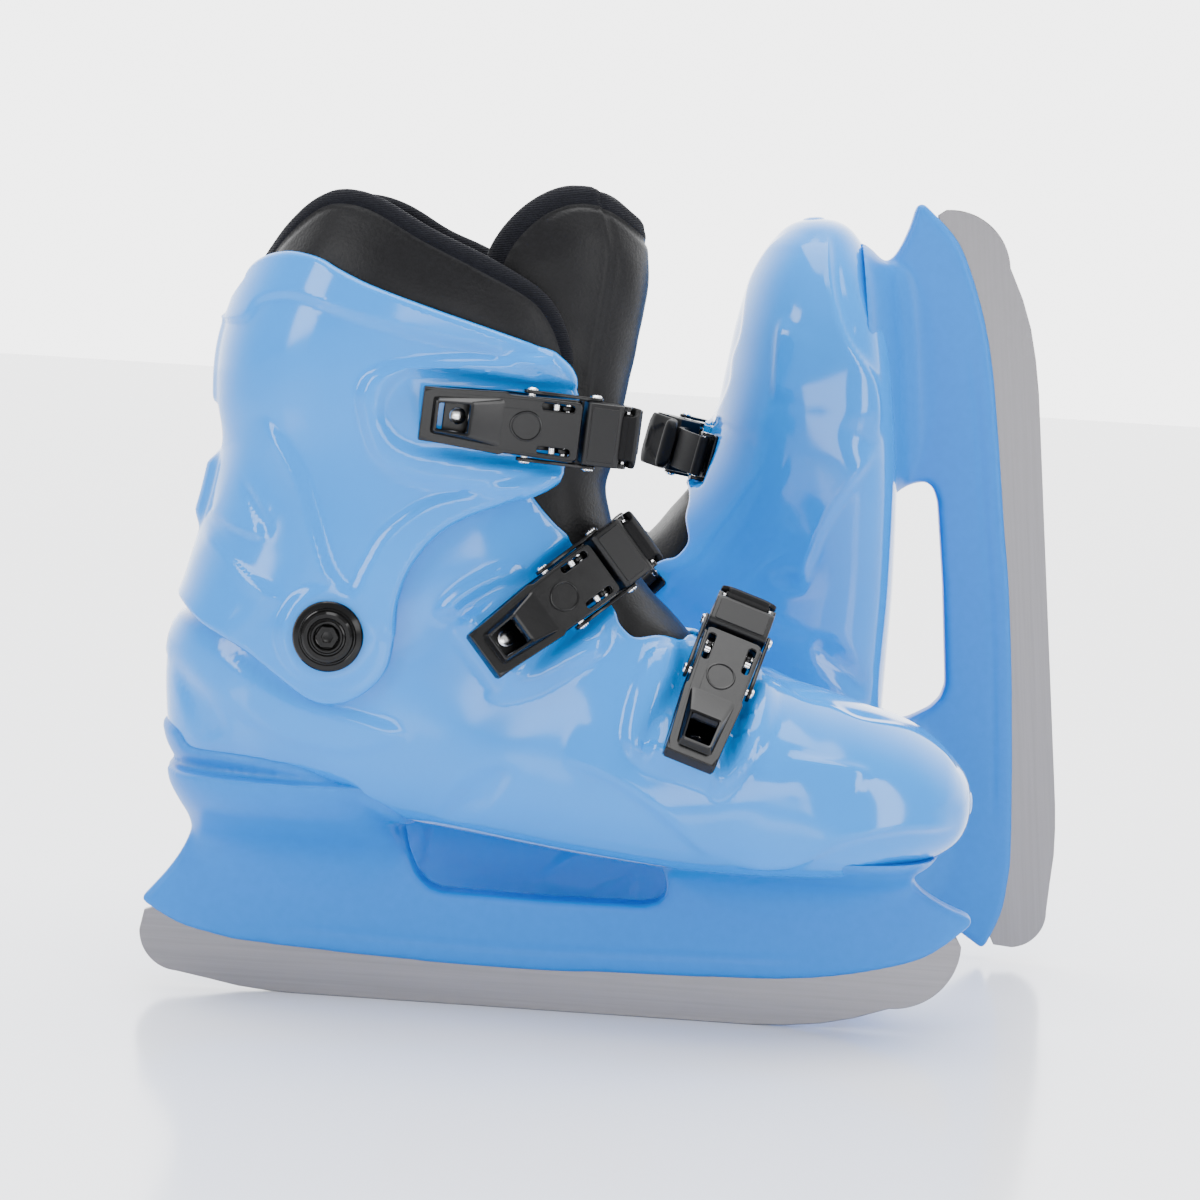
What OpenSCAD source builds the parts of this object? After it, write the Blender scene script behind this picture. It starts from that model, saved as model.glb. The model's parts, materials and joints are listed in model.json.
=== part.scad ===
// Pair of hard-shell ice skates: a moulded boot on a blade holder, a hinged
// cuff, a soft inner boot and three lever buckles on each skate.
// X runs towards the right skate's toe, Z is up, and the right skate's outer
// side faces -Y. The origin is the middle of the right blade's flat edge.

/* [Boot] */
// Thickness of the moulded shell wall
shell_wall = 3.2; // [2.4:0.2:4]
// Half the width of the boot across the ball of the foot
ball_half_width = 51.5; // [48:0.5:55]
// Half the width of the boot at the ankle
ankle_half_width = 43.8; // [42:0.2:44.4]
// Thickness of the moulded cuff wall
cuff_wall = 3.2; // [2.6:0.2:3.6]
// Thickness of the lining of the inner boot
liner_wall = 5; // [4:0.5:6]

/* [Blade] */
// Thickness of the steel runner
blade_t = 3.2; // [3:0.1:4]
// Length of the runner from end to end
blade_len = 306; // [300:1:312]
// Radius of the runner's toe end
blade_toe_r = 25; // [20:1:28]
// Radius of the runner's heel end
blade_heel_r = 15; // [12:1:18]
// Half the thickness of the holder's web
web_half = 6; // [5:0.5:7]

/* [Ankle pivot] */
// Distance of the pivot behind the origin
pivot_back = 82; // [80:1:84]
// Height of the pivot over the ice
pivot_z = 141; // [139:1:143]
// Radius of the black cap over the pivot
cap_r = 12.5; // [11:0.5:13]

/* [Buckles] */
// Half the width of a lever
lever_half = 11; // [10.5:0.5:11]
// Length of a lever behind its hinge
lever_len = 48; // [44:1:50]
// Radius of a buckle's hinge pins
pin_r = 1.5; // [1.3:0.1:1.6]
// Half the width of a ladder strap
strap_half = 8; // [7:0.5:8]
// Thickness of a ladder strap
strap_t = 2.4; // [2:0.2:2.8]

/* [Pair] */
// Distance between the middles of the two skates
pair_gap = 145; // [130:1:160]
// Angle by which the left skate is tipped back onto its cuff
tip_back = 96.5; // [96.4:0.1:96.6]
// Height of the left skate's own origin
left_lift = 160; // [160:0.1:165]
// Distance of the left skate's own origin ahead of the right one's
left_ahead = 189.4; // [189:0.1:200]

/* [Hidden] */

eps = 0.01;
running = 0.05;
cols = 24;
half_cols = cols / 2;
edge_col = 10;
pivot = [-pivot_back, 0, pivot_z];

// Each station of a hollow is a closed ring between its front point I and its
// back point O: [I, O, half width, egg, squareness at O, squareness at I, edge].
// egg > 0 widens the ring towards O. edge is the angle from O, round the ring,
// at which an open front begins.
b = ball_half_width;
k = ankle_half_width;
boot_stations = [
    [[152, 93], [152, 84], 8, 0, 2, 2, 165],
    [[150.5, 98], [150.5, 78.5], 17, 0, 2.1, 2, 165],
    [[147, 103], [147, 73.5], 24.5, 0, 2.3, 2.1, 165],
    [[140, 109], [140, 69], b - 20.5, 0, 2.5, 2.1, 165],
    [[128, 116], [128, 65], b - 12.5, 0.02, 2.8, 2.2, 165],
    [[112, 122], [112, 61.5], b - 5.5, 0.04, 3, 2.2, 165],
    [[94, 127], [94, 60], b - 1.5, 0.05, 3, 2.2, 165],
    [[76, 132], [76, 59.5], b, 0.06, 3, 2.3, 165],
    [[61, 138.5], [60, 59.5], b, 0.08, 3, 2.1, 163],
    [[50, 145], [42, 60], b - 1.5, 0.09, 3, 2.1, 160],
    [[41, 152], [22, 61.5], b - 4, 0.1, 3, 2.2, 157],
    [[33, 160], [-4, 64], b - 6.5, 0.1, 3, 2.4, 154],
    [[26, 169], [-34, 68], k + 0.7, 0.1, 3, 2.6, 151],
    [[20, 178], [-66, 72], k - 0.8, 0.1, 3, 2.6, 148],
    [[16, 187], [-98, 75.5], k - 1, 0.08, 2.9, 2.6, 146],
    [[13, 195], [-126, 79], k - 0.8, 0.04, 2.7, 2.6, 145],
    [[10, 201], [-142, 91], k - 0.2, 0, 2.5, 2.5, 144],
    [[8, 206], [-146.5, 110], k, 0, 2.3, 2.5, 143],
    [[5, 210], [-146, 132], k, -0.02, 2.2, 2.5, 142],
    [[2, 213], [-138, 146], k, -0.03, 2.1, 2.5, 141],
    [[-1, 215], [-134, 155], k - 0.2, -0.03, 2.1, 2.5, 140],
    [[-4, 216.5], [-129, 166], k - 0.4, -0.03, 2.1, 2.5, 140],
    [[-7, 218], [-122, 176], k - 0.8, -0.03, 2.1, 2.5, 140]];
throat_row = 10;

cuff_stations = [
    [[30, 104], [-147, 104], 47.6, 0, 2.4, 2.6, 150],
    [[26, 122], [-148, 122], 48.6, 0, 2.8, 2.7, 150],
    [[22, 141], [-147, 139], 49, 0, 2.8, 2.8, 150],
    [[18, 158], [-141.5, 154], 49, 0, 2.7, 2.9, 150],
    [[15, 175], [-137.5, 170], 49, 0, 2.5, 3, 150],
    [[13, 193], [-133, 188], 49, 0, 2.4, 3, 150],
    [[12, 212], [-130.5, 206], 49.5, 0, 2.4, 3, 150],
    [[12, 231], [-133, 222], 50.5, 0, 2.4, 3, 150],
    [[13, 249], [-132.5, 240], 51.5, 0, 2.4, 3, 150],
    [[14, 267], [-128, 258], 52, 0, 2.4, 2.8, 150],
    [[14, 285], [-121, 276], 51, 0, 2.4, 2.6, 150],
    [[12, 303], [-113, 297], 48, 0, 2.4, 2.4, 150]];

// Side view of the cuff: over the top, down the front, round the pivot lobe,
// and up the stepped spine.
cuff_outline = [
    [-124, 268], [-118, 274.5], [-100, 275], [-70, 268], [-35, 257], [-5, 244.5],
    [0, 238], [-1.5, 222], [-6, 202], [-14, 196], [-25, 191.5], [-42, 180], [-52, 162],
    [-58, 148], [-60, 136], [-62, 124], [-70, 118], [-82, 116.5], [-94, 120],
    [-108, 131], [-122, 143], [-134, 146.5], [-146, 153], [-146, 163], [-137, 184],
    [-134, 192], [-131, 206], [-139, 216], [-139, 246], [-126.5, 252]];

// Side view of the inner boot's collar: its rim, its front edge and its seam.
collar_outline = [
    [-116, 282], [-110, 290], [-100, 295.5], [-88, 297.5], [-75, 295], [-56, 286],
    [-34, 275.5], [-17, 266], [-10, 255], [-7, 242], [-11, 236], [-64, 212], [-126, 188],
    [-140, 188], [-140, 282]];

// Side view of the holder's heel cup, which wraps the sole behind the arch.
cup_outline = [
    [-160, 60], [-160, 93.5], [-146, 95], [-109, 92], [-79, 84], [-53, 76.5],
    [-40, 70], [-40, 60]];

// Front point, outward tilt, half width, depth and thickness along the tongue.
tongue_top_stations = [
    [[9, 302], 0, 22, 26, 8], [[18, 294], 0, 26, 32, 9], [[21, 277], 0, 28, 36, 9],
    [[18, 252], 0, 29, 36, 9], [[14.5, 228], 0, 28, 34, 9], [[12, 210], 8, 25.5, 30, 8]];
tongue_stations = [
    [[9.5, 197], 16, 27, 28, 7], [[12.5, 183], 30, 27, 26, 7], [[19, 170.5], 42, 27, 24, 7],
    [[28, 159], 48, 26, 20, 6], [[37, 150.5], 53, 25, 15, 5], [[46, 141.5], 58, 21, 10, 4]];

// ---- rings and hollows

// Rounds a cosine or sine so that a ring becomes a superellipse.
function squared(v, n) = sign(v) * pow(abs(v), 2 / n);

// Column j's angle from O round to I and back, with a column on the edge.
function half_angle(j, edge) =
    j <= edge_col ? edge * j / edge_col
                  : edge + (180 - edge) * (j - edge_col) / (half_cols - edge_col);
function column_angle(j, edge) =
    j <= half_cols ? half_angle(j, edge) : 360 - half_angle(cols - j, edge);

// Point of a station's ring at angle a, drawn in by t.
function ring_point(s, a, t) =
    let (front = s[0], back = s[1], axis = (front - back) / norm(front - back),
         mid = (front + back) / 2, half = norm(front - back) / 2 - t,
         n = cos(a) > 0 ? s[4] : s[5], c = squared(cos(a), n), w = squared(sin(a), n))
    [mid.x - axis.x * half * c, -(s[2] - t) * w * (1 + s[3] * c), mid.y - axis.y * half * c];
function ring(s, t) = [for (j = [0:cols - 1]) ring_point(s, column_angle(j, s[6]), t)];

// The toe cap closes at the first station, so a ring there also moves back by t.
toe_rows = 5;
function boot_ring(i, t) =
    let (drawn = t * min(1, 0.35 + i * 0.22), back = t * max(0, 1 - i / toe_rows))
    [for (p = ring(boot_stations[i], drawn)) p - [back, 0, 0]];
function boot_rings(t) = [for (i = [0:len(boot_stations) - 1]) boot_ring(i, t)];
function cuff_rings(t) = [for (s = cuff_stations) ring(s, t)];

// Both triangles of the cell between rows i and i + 1, columns j and j + 1.
function cell(base, i, j, n) =
    let (a = base + i * n + j, b = base + i * n + (j + 1) % n, c = b + n, d = a + n)
    [[a, b, c], [a, c, d]];
function turned(list) = [for (f = list) [f[2], f[1], f[0]]];

// Closed solid through a list of rings, with a strip of triangles at each end.
module lofted(rings) {
    n = len(rings[0]);
    last = len(rings) - 1;
    sides = [for (i = [0:last - 1]) for (j = [0:n - 1]) each turned(cell(0, i, j, n))];
    strip = [for (j = [0:n / 2 - 2]) let (a = j, b = j + 1, c = n - 2 - j, d = n - 1 - j)
        each b == c ? [[a, b, d]] : [[a, b, c], [a, c, d]]];
    far_end = [for (f = turned(strip)) [for (p = f) p + last * n]];
    polyhedron([for (r = rings) each r], concat(sides, strip, far_end));
}

// Wall between two lists of rings, open at the top and, from row front on,
// between the edge columns. closed_toe caps the first ring.
module hollow(outer, inner, front, closed_toe) {
    n = cols;
    rows = len(outer) - 1;
    m = len(outer) * n;
    open = function (i, j) i >= front && j >= edge_col && j < n - edge_col;
    kept = function (i, j) i >= 0 && i < rows && !open(i, (j + n) % n);
    cells = [for (i = [0:rows - 1]) for (j = [0:n - 1]) if (!open(i, j)) [i, j]];
    skins = [for (c = cells) each concat(turned(cell(0, c[0], c[1], n)), cell(m, c[0], c[1], n))];
    rim = function (a, b) turned([[a, b, b + m], [a, b + m, a + m]]);
    at = function (i, j) i * n + (j + n) % n;
    rims = [for (c = cells) let (i = c[0], j = c[1]) each concat(
        kept(i + 1, j) ? [] : rim(at(i + 1, j), at(i + 1, j + 1)),
        kept(i - 1, j) || (i == 0 && closed_toe) ? [] : rim(at(i, j + 1), at(i, j)),
        kept(i, j + 1) ? [] : rim(at(i + 1, j + 1), at(i, j + 1)),
        kept(i, j - 1) ? [] : rim(at(i, j), at(i + 1, j)))];
    caps = closed_toe ? [[for (j = [0:n - 1]) j], [for (j = [n - 1:-1:0]) m + j]] : [];
    polyhedron([for (r = concat(outer, inner)) each r], concat(skins, rims, caps));
}

// Slab through a side view, reaching half to each side of the middle.
module side_slab(outline, half) {
    rotate([90, 0, 0]) linear_extrude(2 * half, center = true) polygon(outline);
}

// ---- where things stand

module right() {
    children();
}

module left() {
    translate([left_ahead, pair_gap, left_lift]) rotate([0, -tip_back, 0])
        mirror([0, 1, 0]) children();
}

// Along Y on both sides of the boot, from y0 outwards to y1.
module on_both_sides(at, y0, y1, r, fn = 48) {
    for (s = [-1, 1])
        translate([at.x, s * (y0 + y1) / 2, at.z]) rotate([90, 0, 0])
            cylinder(r = r, h = abs(y1 - y0), center = true, $fn = fn);
}

// ---- the buckles: place, turn in side view, lean inwards, and the strap's
// middle and anchor in the buckle's own frame, with the direction from the
// anchor to the boot. There X follows the strap, Y is the hinge axis and Z
// points away from the boot.
cuff_buckle = [[-2, -50.5, 219], -4, 9.5, [31.8, -48.1], [6.8, -99.4], 117];
instep_buckle = [[9.5, -37, 167.5], 39.3, 25, [34.4, -36.6], [29.9, -68.1], 144];
toe_buckle = [[60, -30, 142.5], 71.5, 42, [24, -16.2], [30.9, -39], 203];

module at_buckle(b) {
    translate(b[0]) rotate([0, -b[1], 0]) rotate([90, 0, 0]) rotate([0, b[2], 0]) children();
}

plate_z = -8;
plate_t = 1.5;
link_pin = [-13.5, -0.8];
link_end = [9, 0];
rivets_x = [-38, -24];
tab_pin = [20.6, 2.4];
tab_gap = 0.6;
tab_len = 22;

module buckle_profile(points, y0, y1) {
    translate([0, y1, 0]) rotate([90, 0, 0]) linear_extrude(y1 - y0) polygon(points);
}

module across(at, half, r, fn = 32) {
    translate([at.x, 0, at.y]) rotate([90, 0, 0])
        cylinder(r = r, h = 2 * half, center = true, $fn = fn);
}

// Plate with two ears and the hinge pin through them, and the strap's anchor.
module buckle_base(b) {
    ear = [[-4, plate_z], [2.4, plate_z], [2.4, -1], [1.6, 1.6], [-1.6, 2.4], [-4, 0]];
    color("dimgray") at_buckle(b) {
        translate([-lever_len + 5, -8.4, plate_z]) cube([lever_len, 16.8, plate_t]);
        for (y = [-8.4, 6.6])
            buckle_profile(ear, y, y + 1.8);
        across([0, 0], lever_half - 0.1, pin_r);
        for (x = rivets_x)
            translate([x, 0, plate_z + plate_t - eps]) cylinder(r = 3, h = 1.2, $fn = 12);
        strap_anchor(b);
    }
}

// Two lugs on a foot, which hold the pin that the strap ends on.
foot_h = 4.2;
module at_anchor(b) {
    translate([b[4].x, 0, b[4].y]) rotate([0, -b[5], 0]) children();
}
module strap_anchor(b) {
    across(b[4], 9.8, 1);
    at_anchor(b) {
        for (y = [-9.8, 8.3])
            translate([-1.5, y, -1.8]) cube([foot_h + 1.5, 1.5, 3.6]);
        translate([foot_h - 1.4, -9.8, -5]) cube([1.4, 19.6, 10]);
    }
}

// Folded steel lever: a top with a finger window, and a wall down each side.
module buckle_lever(b) {
    wall = [[-lever_len, 0], [-lever_len + 3, -5.2], [-20, -5.2], [0, -4.5], [3.2, -3.2],
            [4.5, 0], [3.2, 3.2], [0, 4.4], [-lever_len, 4.4]];
    color("black") at_buckle(b) difference() {
        union() {
            for (y = [-lever_half, lever_half - 1.7])
                buckle_profile(wall, y, y + 1.7);
            translate([-lever_len, -lever_half, 2.9]) cube([lever_len, 2 * lever_half, 1.5]);
            translate([-lever_len, -lever_half, -1.5]) cube([3.5, 2 * lever_half, 4.5]);
        }
        translate([-lever_len + 6, -5.5, 2]) cube([11, 11, 4]);
        across([0, 0], lever_half + 1, pin_r + running);
        across(link_pin, lever_half + 1, pin_r - 0.1 + running);
    }
}

// Two side links on the pin that the lever carries, with rivet heads outside.
module buckle_links(b) {
    inner = lever_half + 0.3;
    color("dimgray") at_buckle(b) {
        across(link_pin, inner + 0.7, pin_r - 0.1);
        for (s = [-1, 1]) {
            y = s > 0 ? inner : -inner - 1.3;
            for (p = [link_pin, link_end])
                translate([p.x, y + 1.3, p.y]) rotate([90, 0, 0]) cylinder(r = 2.8, h = 1.3, $fn = 12);
            buckle_profile([
                link_pin + [0, -2.4], link_end + [0, -2.4], link_end + [0, 2.4], link_pin + [0, 2.4]],
                y, y + 1.3);
        }
    }
}

// Housing that grips the ladder strap, with lugs for the release tab's pin.
module buckle_head(b) {
    body = [[6, -7.7], [16.5, -7.7], [18, -2], [17.2, 5], [7.5, 5.6], [6, 4]];
    lug = [[16.5, -0.5], [21.6, 0], [23, 2.4], [21.4, 4.4], [16.5, 4.9]];
    color("black") at_buckle(b) difference() {
        union() {
            buckle_profile(body, -lever_half, lever_half);
            for (y = [-lever_half, lever_half - 1.8])
                buckle_profile(lug, y, y + 1.8);
            across(tab_pin, lever_half - 0.4, 0.8);
        }
        buckle_profile(strap_outline(b, 0.3), -strap_half - 0.3, strap_half + 0.3);
    }
}

// Release tab: a knuckle on its pin and a flap over the strap.
module buckle_tab(b) {
    c = strap_centre(b);
    r = strap_radius(b) + strap_t / 2 + tab_gap;
    a0 = acos((tab_pin.x - 0.6 - c.x) / r);
    sweep = tab_len / r * 180 / PI;
    arc = [for (i = [0:4]) a0 - sweep * i / 4];
    flap = concat(
        [tab_pin + [0.4, 1.9]],
        [for (a = arc) if (a < a0) c + (r + 2.2) * [cos(a), sin(a)]],
        [for (i = [4:-1:0]) c + r * [cos(arc[i]), sin(arc[i])]]);
    color("black") at_buckle(b) difference() {
        union() {
            buckle_profile(flap, -7.4, 7.4);
            across(tab_pin, 8.4, 1.9);
        }
        across(tab_pin, 9, 0.8 + running);
    }
}

// Ladder strap from the head over the boot to its anchor.
function circle_through(p, q, r) =
    let (d = 2 * (p.x * (q.y - r.y) + q.x * (r.y - p.y) + r.x * (p.y - q.y)),
         pp = p * p, qq = q * q, rr = r * r)
    [(pp * (q.y - r.y) + qq * (r.y - p.y) + rr * (p.y - q.y)) / d,
     (pp * (r.x - q.x) + qq * (p.x - r.x) + rr * (q.x - p.x)) / d];
strap_start = [7.5, -5];
strap_steps = 14;
function strap_centre(b) = circle_through(strap_start, b[3], b[4]);
function strap_radius(b) = norm(strap_start - strap_centre(b));
function strap_outline(b, t) =
    let (c = strap_centre(b), r = strap_radius(b), half = strap_t / 2 + t,
         a0 = atan2(strap_start.y - c.y, strap_start.x - c.x),
         a1 = atan2(b[4].y - c.y, b[4].x - c.x),
         arc = [for (i = [0:strap_steps]) a0 + (a1 - a0) * i / strap_steps])
    concat([for (a = arc) c + (r + half) * [cos(a), sin(a)]],
           [for (i = [strap_steps:-1:0]) c + (r - half) * [cos(arc[i]), sin(arc[i])]]);

module strap(b) {
    color([0.1, 0.1, 0.11]) at_buckle(b) difference() {
        union() {
            buckle_profile(strap_outline(b, 0), -strap_half, strap_half);
            across(b[4], strap_half, 2.2);
        }
        across(b[4], strap_half + 1, 1 + running);
    }
}

// ---- the boot

// Pads under a buckle's base and under its anchor's foot, from inside the wall.
module buckle_pads(b, depth) {
    at_buckle(b) {
        translate([-lever_len + 4, -lever_half, plate_z - depth])
            cube([lever_len + 1, 2 * lever_half, depth]);
        at_anchor(b) translate([foot_h, -10.4, -5.6]) cube([depth, 20.8, 11.2]);
    }
}

// Channel in the boot's surface that a buckle lies in.
module buckle_channel(b) {
    width = 2 * lever_half + 3;
    at_buckle(b) {
        translate([-lever_len - 2, -width / 2, plate_z]) cube([lever_len + 7, width, 20]);
        translate([4, -width / 2, plate_z - 0.3]) cube([20, width, 20]);
        at_anchor(b) translate([-12, -11.2, -6.5]) cube([foot_h + 12, 22.4, 13]);
    }
}

module shell() {
    color([0.25, 0.68, 0.98]) difference() {
        union() {
            hollow(boot_rings(0), boot_rings(shell_wall), throat_row, true);
            difference() {
                union() {
                    buckle_pads(instep_buckle, 12);
                    buckle_pads(toe_buckle, 12);
                    on_both_sides(pivot, 30, 45, 15);
                }
                lofted(boot_rings(shell_wall * 0.7));
            }
        }
        on_both_sides(pivot, 20, 50, 4.05);
        on_both_sides(pivot, 20, 40.55, 11.4);
        buckle_channel(instep_buckle);
        buckle_channel(toe_buckle);
        for (x = sole_rivets_x) {
            translate([x, 0, 40]) cylinder(r = 2, h = 60, $fn = 32);
            translate([x, 0, sole_z(x) + rivet_seat]) cylinder(r = 4.25, h = 20, $fn = 32);
        }
    }
}

sole_rivets_x = [-112, -80, 60, 92];
rivet_seat = 1.4;

// Height of the outside of the sole, which falls from the heel to the arch.
function sole_z(x) = x > 20 ? 59.6 : 61.5 + (22 - x) * 0.118;

// Pocket that the runner's upper edge is moulded into.
function foot_z(x) =
    x > 70 ? 16.8 + 24 * pow((x - 70) / 83, 2.4)
           : x < -60 ? 15.8 + 14 * pow((-60 - x) / 90, 2.4) : 16 + 0.3 * sin(x);

module window() {
    rotate([90, 0, 0]) linear_extrude(80, center = true)
        polygon([[-57, 76], [-54, 58], [-50.5, 50], [-46.5, 45.6], [-41, 43.8], [0, 42.6],
            [34, 43.2], [39.5, 44.4], [42.5, 47], [43.2, 51], [41.8, 57], [38, 62], [38, 76]]);
}

module blade_holder() {
    steps = 24;
    bottom = [for (i = [0:steps]) let (x = -150.5 + 303 * i / steps) [x, foot_z(x)]];
    web = concat(bottom, [
        [155.4, 45.6], [147, 49.6], [139.5, 53.5], [134.5, 57.5], [133, 62], [133, 68],
        [-133, 70], [-134, 62], [-137, 54], [-143, 44.5], [-152, 33.5]]);
    toe_tower = [
        for (s = [[44, 42, 141, web_half], [50, 42.5, 138, 8], [56, 41, 134, 14], [61, 38, 134, 26],
                  [66, 34, 139, 38]])
            plan_ring(s)];
    heel_tower = [
        for (s = [[44, -143, -46, web_half], [52, -138, -51, 9], [59, -135, -54, 15],
                  [66, -136, -57, 25], [73, -139.5, -58, 35], [80, -143, -56, 39]])
            plan_ring(s)];
    color([0.2, 0.62, 0.95]) difference() {
        union() {
            side_slab(web, web_half);
            lofted(toe_tower);
            lofted(heel_tower);
            intersection() {
                lofted(boot_rings(-1.8));
                side_slab(cup_outline, 60);
            }
        }
        lofted(boot_rings(0));
        window();
        blade();
        for (x = sole_rivets_x)
            translate([x, 0, sole_z(x) - 9]) cylinder(r = 2, h = 20, $fn = 32);
    }
}

// Oval ring in plan: height, rear end, front end and half width.
function plan_ring(s) = [
    for (j = [0:23]) let (a = 15 * j)
        [(s[1] + s[2]) / 2 + (s[2] - s[1]) / 2 * squared(cos(a), 2.8),
         s[3] * squared(sin(a), 2.8), s[0]]];

module blade() {
    half = blade_len / 2;
    toe_c = [half - blade_toe_r, 34.5];
    heel_c = [-half + blade_heel_r, 20.5];
    toe_arc = [for (a = [-90:7.5:0]) toe_c + blade_toe_r * [cos(a), sin(a)]];
    heel_arc = [for (a = [180:10:260]) heel_c + blade_heel_r * [cos(a), sin(a)]];
    outline = concat(
        heel_arc, [[-115, 1.4], [-104, 0.4], [-94, 0], [76, 0], [90, 0.7], [103, 2.2], [115, 5]],
        toe_arc, [[half - 2, 38], [130, 36], [105, 30], [-105, 30], [-135, 34], [-half + 1.5, 28]]);
    color([0.72, 0.72, 0.74]) rotate([90, 0, 0])
        linear_extrude(blade_t, center = true) polygon(outline);
}

// Countersunk rivets that clench the sole of the shell onto the holder.
module sole_rivets() {
    color("silver") for (x = sole_rivets_x) {
        translate([x, 0, sole_z(x) - 9]) cylinder(r = 2, h = 9.5 + rivet_seat, $fn = 32);
        translate([x, 0, sole_z(x) + rivet_seat]) cylinder(r = 4.2, h = 1, $fn = 32);
    }
}

module cuff() {
    color([0.25, 0.68, 0.98]) difference() {
        union() {
            intersection() {
                hollow(cuff_rings(0), cuff_rings(cuff_wall), 0, false);
                side_slab(cuff_outline, 70);
            }
            difference() {
                union() {
                    buckle_pads(cuff_buckle, 12);
                    on_both_sides(pivot, 45.4, 49.8, 17);
                }
                lofted(cuff_rings(cuff_wall / 2));
            }
            on_both_sides(pivot, 45.4, 49.8, 15);
        }
        on_both_sides(pivot, 40, 60, 6.05);
        on_both_sides(pivot, 40, 45.4, 19);
        buckle_channel(cuff_buckle);
    }
}

// Black caps: a shoulder that the cuff turns on, and a domed disc over it.
module pivot_caps() {
    color([0.06, 0.06, 0.07]) for (s = [-1, 1])
        translate([pivot.x, s * 45.05, pivot.z]) rotate([s * -90, 0, 0])
            rotate_extrude($fn = 48) polygon([
                [4, 0], [6, 0], [6, 5.05], [cap_r, 5.05], [cap_r, 6.4], [9.5, 8], [5, 9],
                [4.4, 9], [3.6, 6.5], [0, 6.5], [0, 4.5], [4, 4.5]]);
}

// T-nuts inside the shell, whose barrels the caps are screwed to.
module pivot_nuts() {
    color("silver") {
        on_both_sides(pivot, 39, 40.5, 11);
        on_both_sides(pivot, 40, 49.5, 4);
    }
}

// ---- the soft inner boot

gap = 0.8;
liner_out = shell_wall + gap;

module liner_boot() {
    color([0.1, 0.1, 0.11]) difference() {
        hollow(boot_rings(liner_out), boot_rings(liner_out + liner_wall), throat_row, true);
        on_both_sides(pivot, 38, 60, 12);
        instep_room();
    }
}

// Room that the tongue fills between the inner boot's front edges.
module instep_room() {
    side_slab([[70, 128], [50, 126], [28, 132], [6, 147], [-12, 168], [-24, 190], [-30, 230],
        [60, 230]], 35);
}

module liner_collar() {
    color([0.12, 0.12, 0.13]) intersection() {
        hollow(cuff_rings(cuff_wall + gap), cuff_rings(cuff_wall + gap + liner_wall + 2), 0, false);
        side_slab(collar_outline, 60);
    }
}

// U-shaped ring of the tongue: out round the front, back round the shin.
function tongue_ring(s) =
    let (n = [cos(s[1]), sin(s[1])], out = [for (a = [-90:18:90]) a], in = [for (a = [90:-18:-90]) a])
    concat(
        [for (a = out) let (p = s[0] + n * s[3] * (cos(a) - 1)) [p.x, s[2] * sin(a), p.y]],
        [for (a = in) let (p = s[0] - n * s[4] + n * (s[3] - s[4]) * (cos(a) - 1))
            [p.x, (s[2] - s[4]) * sin(a), p.y]]);

module tongue_top() {
    color([0.1, 0.1, 0.11])
        lofted([for (i = [len(tongue_top_stations) - 1:-1:0]) tongue_ring(tongue_top_stations[i])]);
}

module tongue() {
    color([0.1, 0.1, 0.11])
        lofted([for (i = [len(tongue_stations) - 1:-1:0]) tongue_ring(tongue_stations[i])]);
}

// Flat footbed: heel, arch and toe half widths along the foot.
module insole() {
    bed = [[128, 6], [122, 16], [110, 24], [93, 28.5], [65, 30.5], [30, 27], [-20, 23],
           [-70, 21], [-96, 19], [-108, 13], [-114, 5]];
    bevel = 0.65;
    rows = [for (s = bed) let (z = sole_z(s[0]) + liner_out + liner_wall + 3 + max(0, s[0] - 85) * 0.12)
        [[s[0], -s[1] * bevel, z], [s[0], s[1] * bevel, z], [s[0], s[1], z + 4], [s[0], -s[1], z + 4]]];
    color([0.35, 0.35, 0.37]) lofted([for (i = [len(rows) - 1:-1:0]) rows[i]]);
}

right() shell();  // right_shell
right() blade_holder();  // right_blade_holder
right() blade();  // right_blade
right() sole_rivets();  // right_sole_rivets
right() cuff();  // right_cuff
right() pivot_caps();  // right_pivot_caps
right() pivot_nuts();  // right_pivot_nuts
right() liner_boot();  // right_liner_boot
right() liner_collar();  // right_liner_collar
right() tongue();  // right_tongue
right() tongue_top();  // right_tongue_top
right() insole();  // right_insole
right() buckle_base(cuff_buckle);  // right_cuff_buckle_base
right() buckle_lever(cuff_buckle);  // right_cuff_buckle_lever
right() buckle_links(cuff_buckle);  // right_cuff_buckle_links
right() buckle_head(cuff_buckle);  // right_cuff_buckle_head
right() buckle_tab(cuff_buckle);  // right_cuff_buckle_tab
right() strap(cuff_buckle);  // right_cuff_strap
right() buckle_base(instep_buckle);  // right_instep_buckle_base
right() buckle_lever(instep_buckle);  // right_instep_buckle_lever
right() buckle_links(instep_buckle);  // right_instep_buckle_links
right() buckle_head(instep_buckle);  // right_instep_buckle_head
right() buckle_tab(instep_buckle);  // right_instep_buckle_tab
right() strap(instep_buckle);  // right_instep_strap
right() buckle_base(toe_buckle);  // right_toe_buckle_base
right() buckle_lever(toe_buckle);  // right_toe_buckle_lever
right() buckle_links(toe_buckle);  // right_toe_buckle_links
right() buckle_head(toe_buckle);  // right_toe_buckle_head
right() buckle_tab(toe_buckle);  // right_toe_buckle_tab
right() strap(toe_buckle);  // right_toe_strap
left() shell();  // left_shell
left() blade_holder();  // left_blade_holder
left() blade();  // left_blade
left() sole_rivets();  // left_sole_rivets
left() cuff();  // left_cuff
left() pivot_caps();  // left_pivot_caps
left() pivot_nuts();  // left_pivot_nuts
left() liner_boot();  // left_liner_boot
left() liner_collar();  // left_liner_collar
left() tongue();  // left_tongue
left() tongue_top();  // left_tongue_top
left() insole();  // left_insole
left() buckle_base(cuff_buckle);  // left_cuff_buckle_base
left() buckle_lever(cuff_buckle);  // left_cuff_buckle_lever
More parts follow.
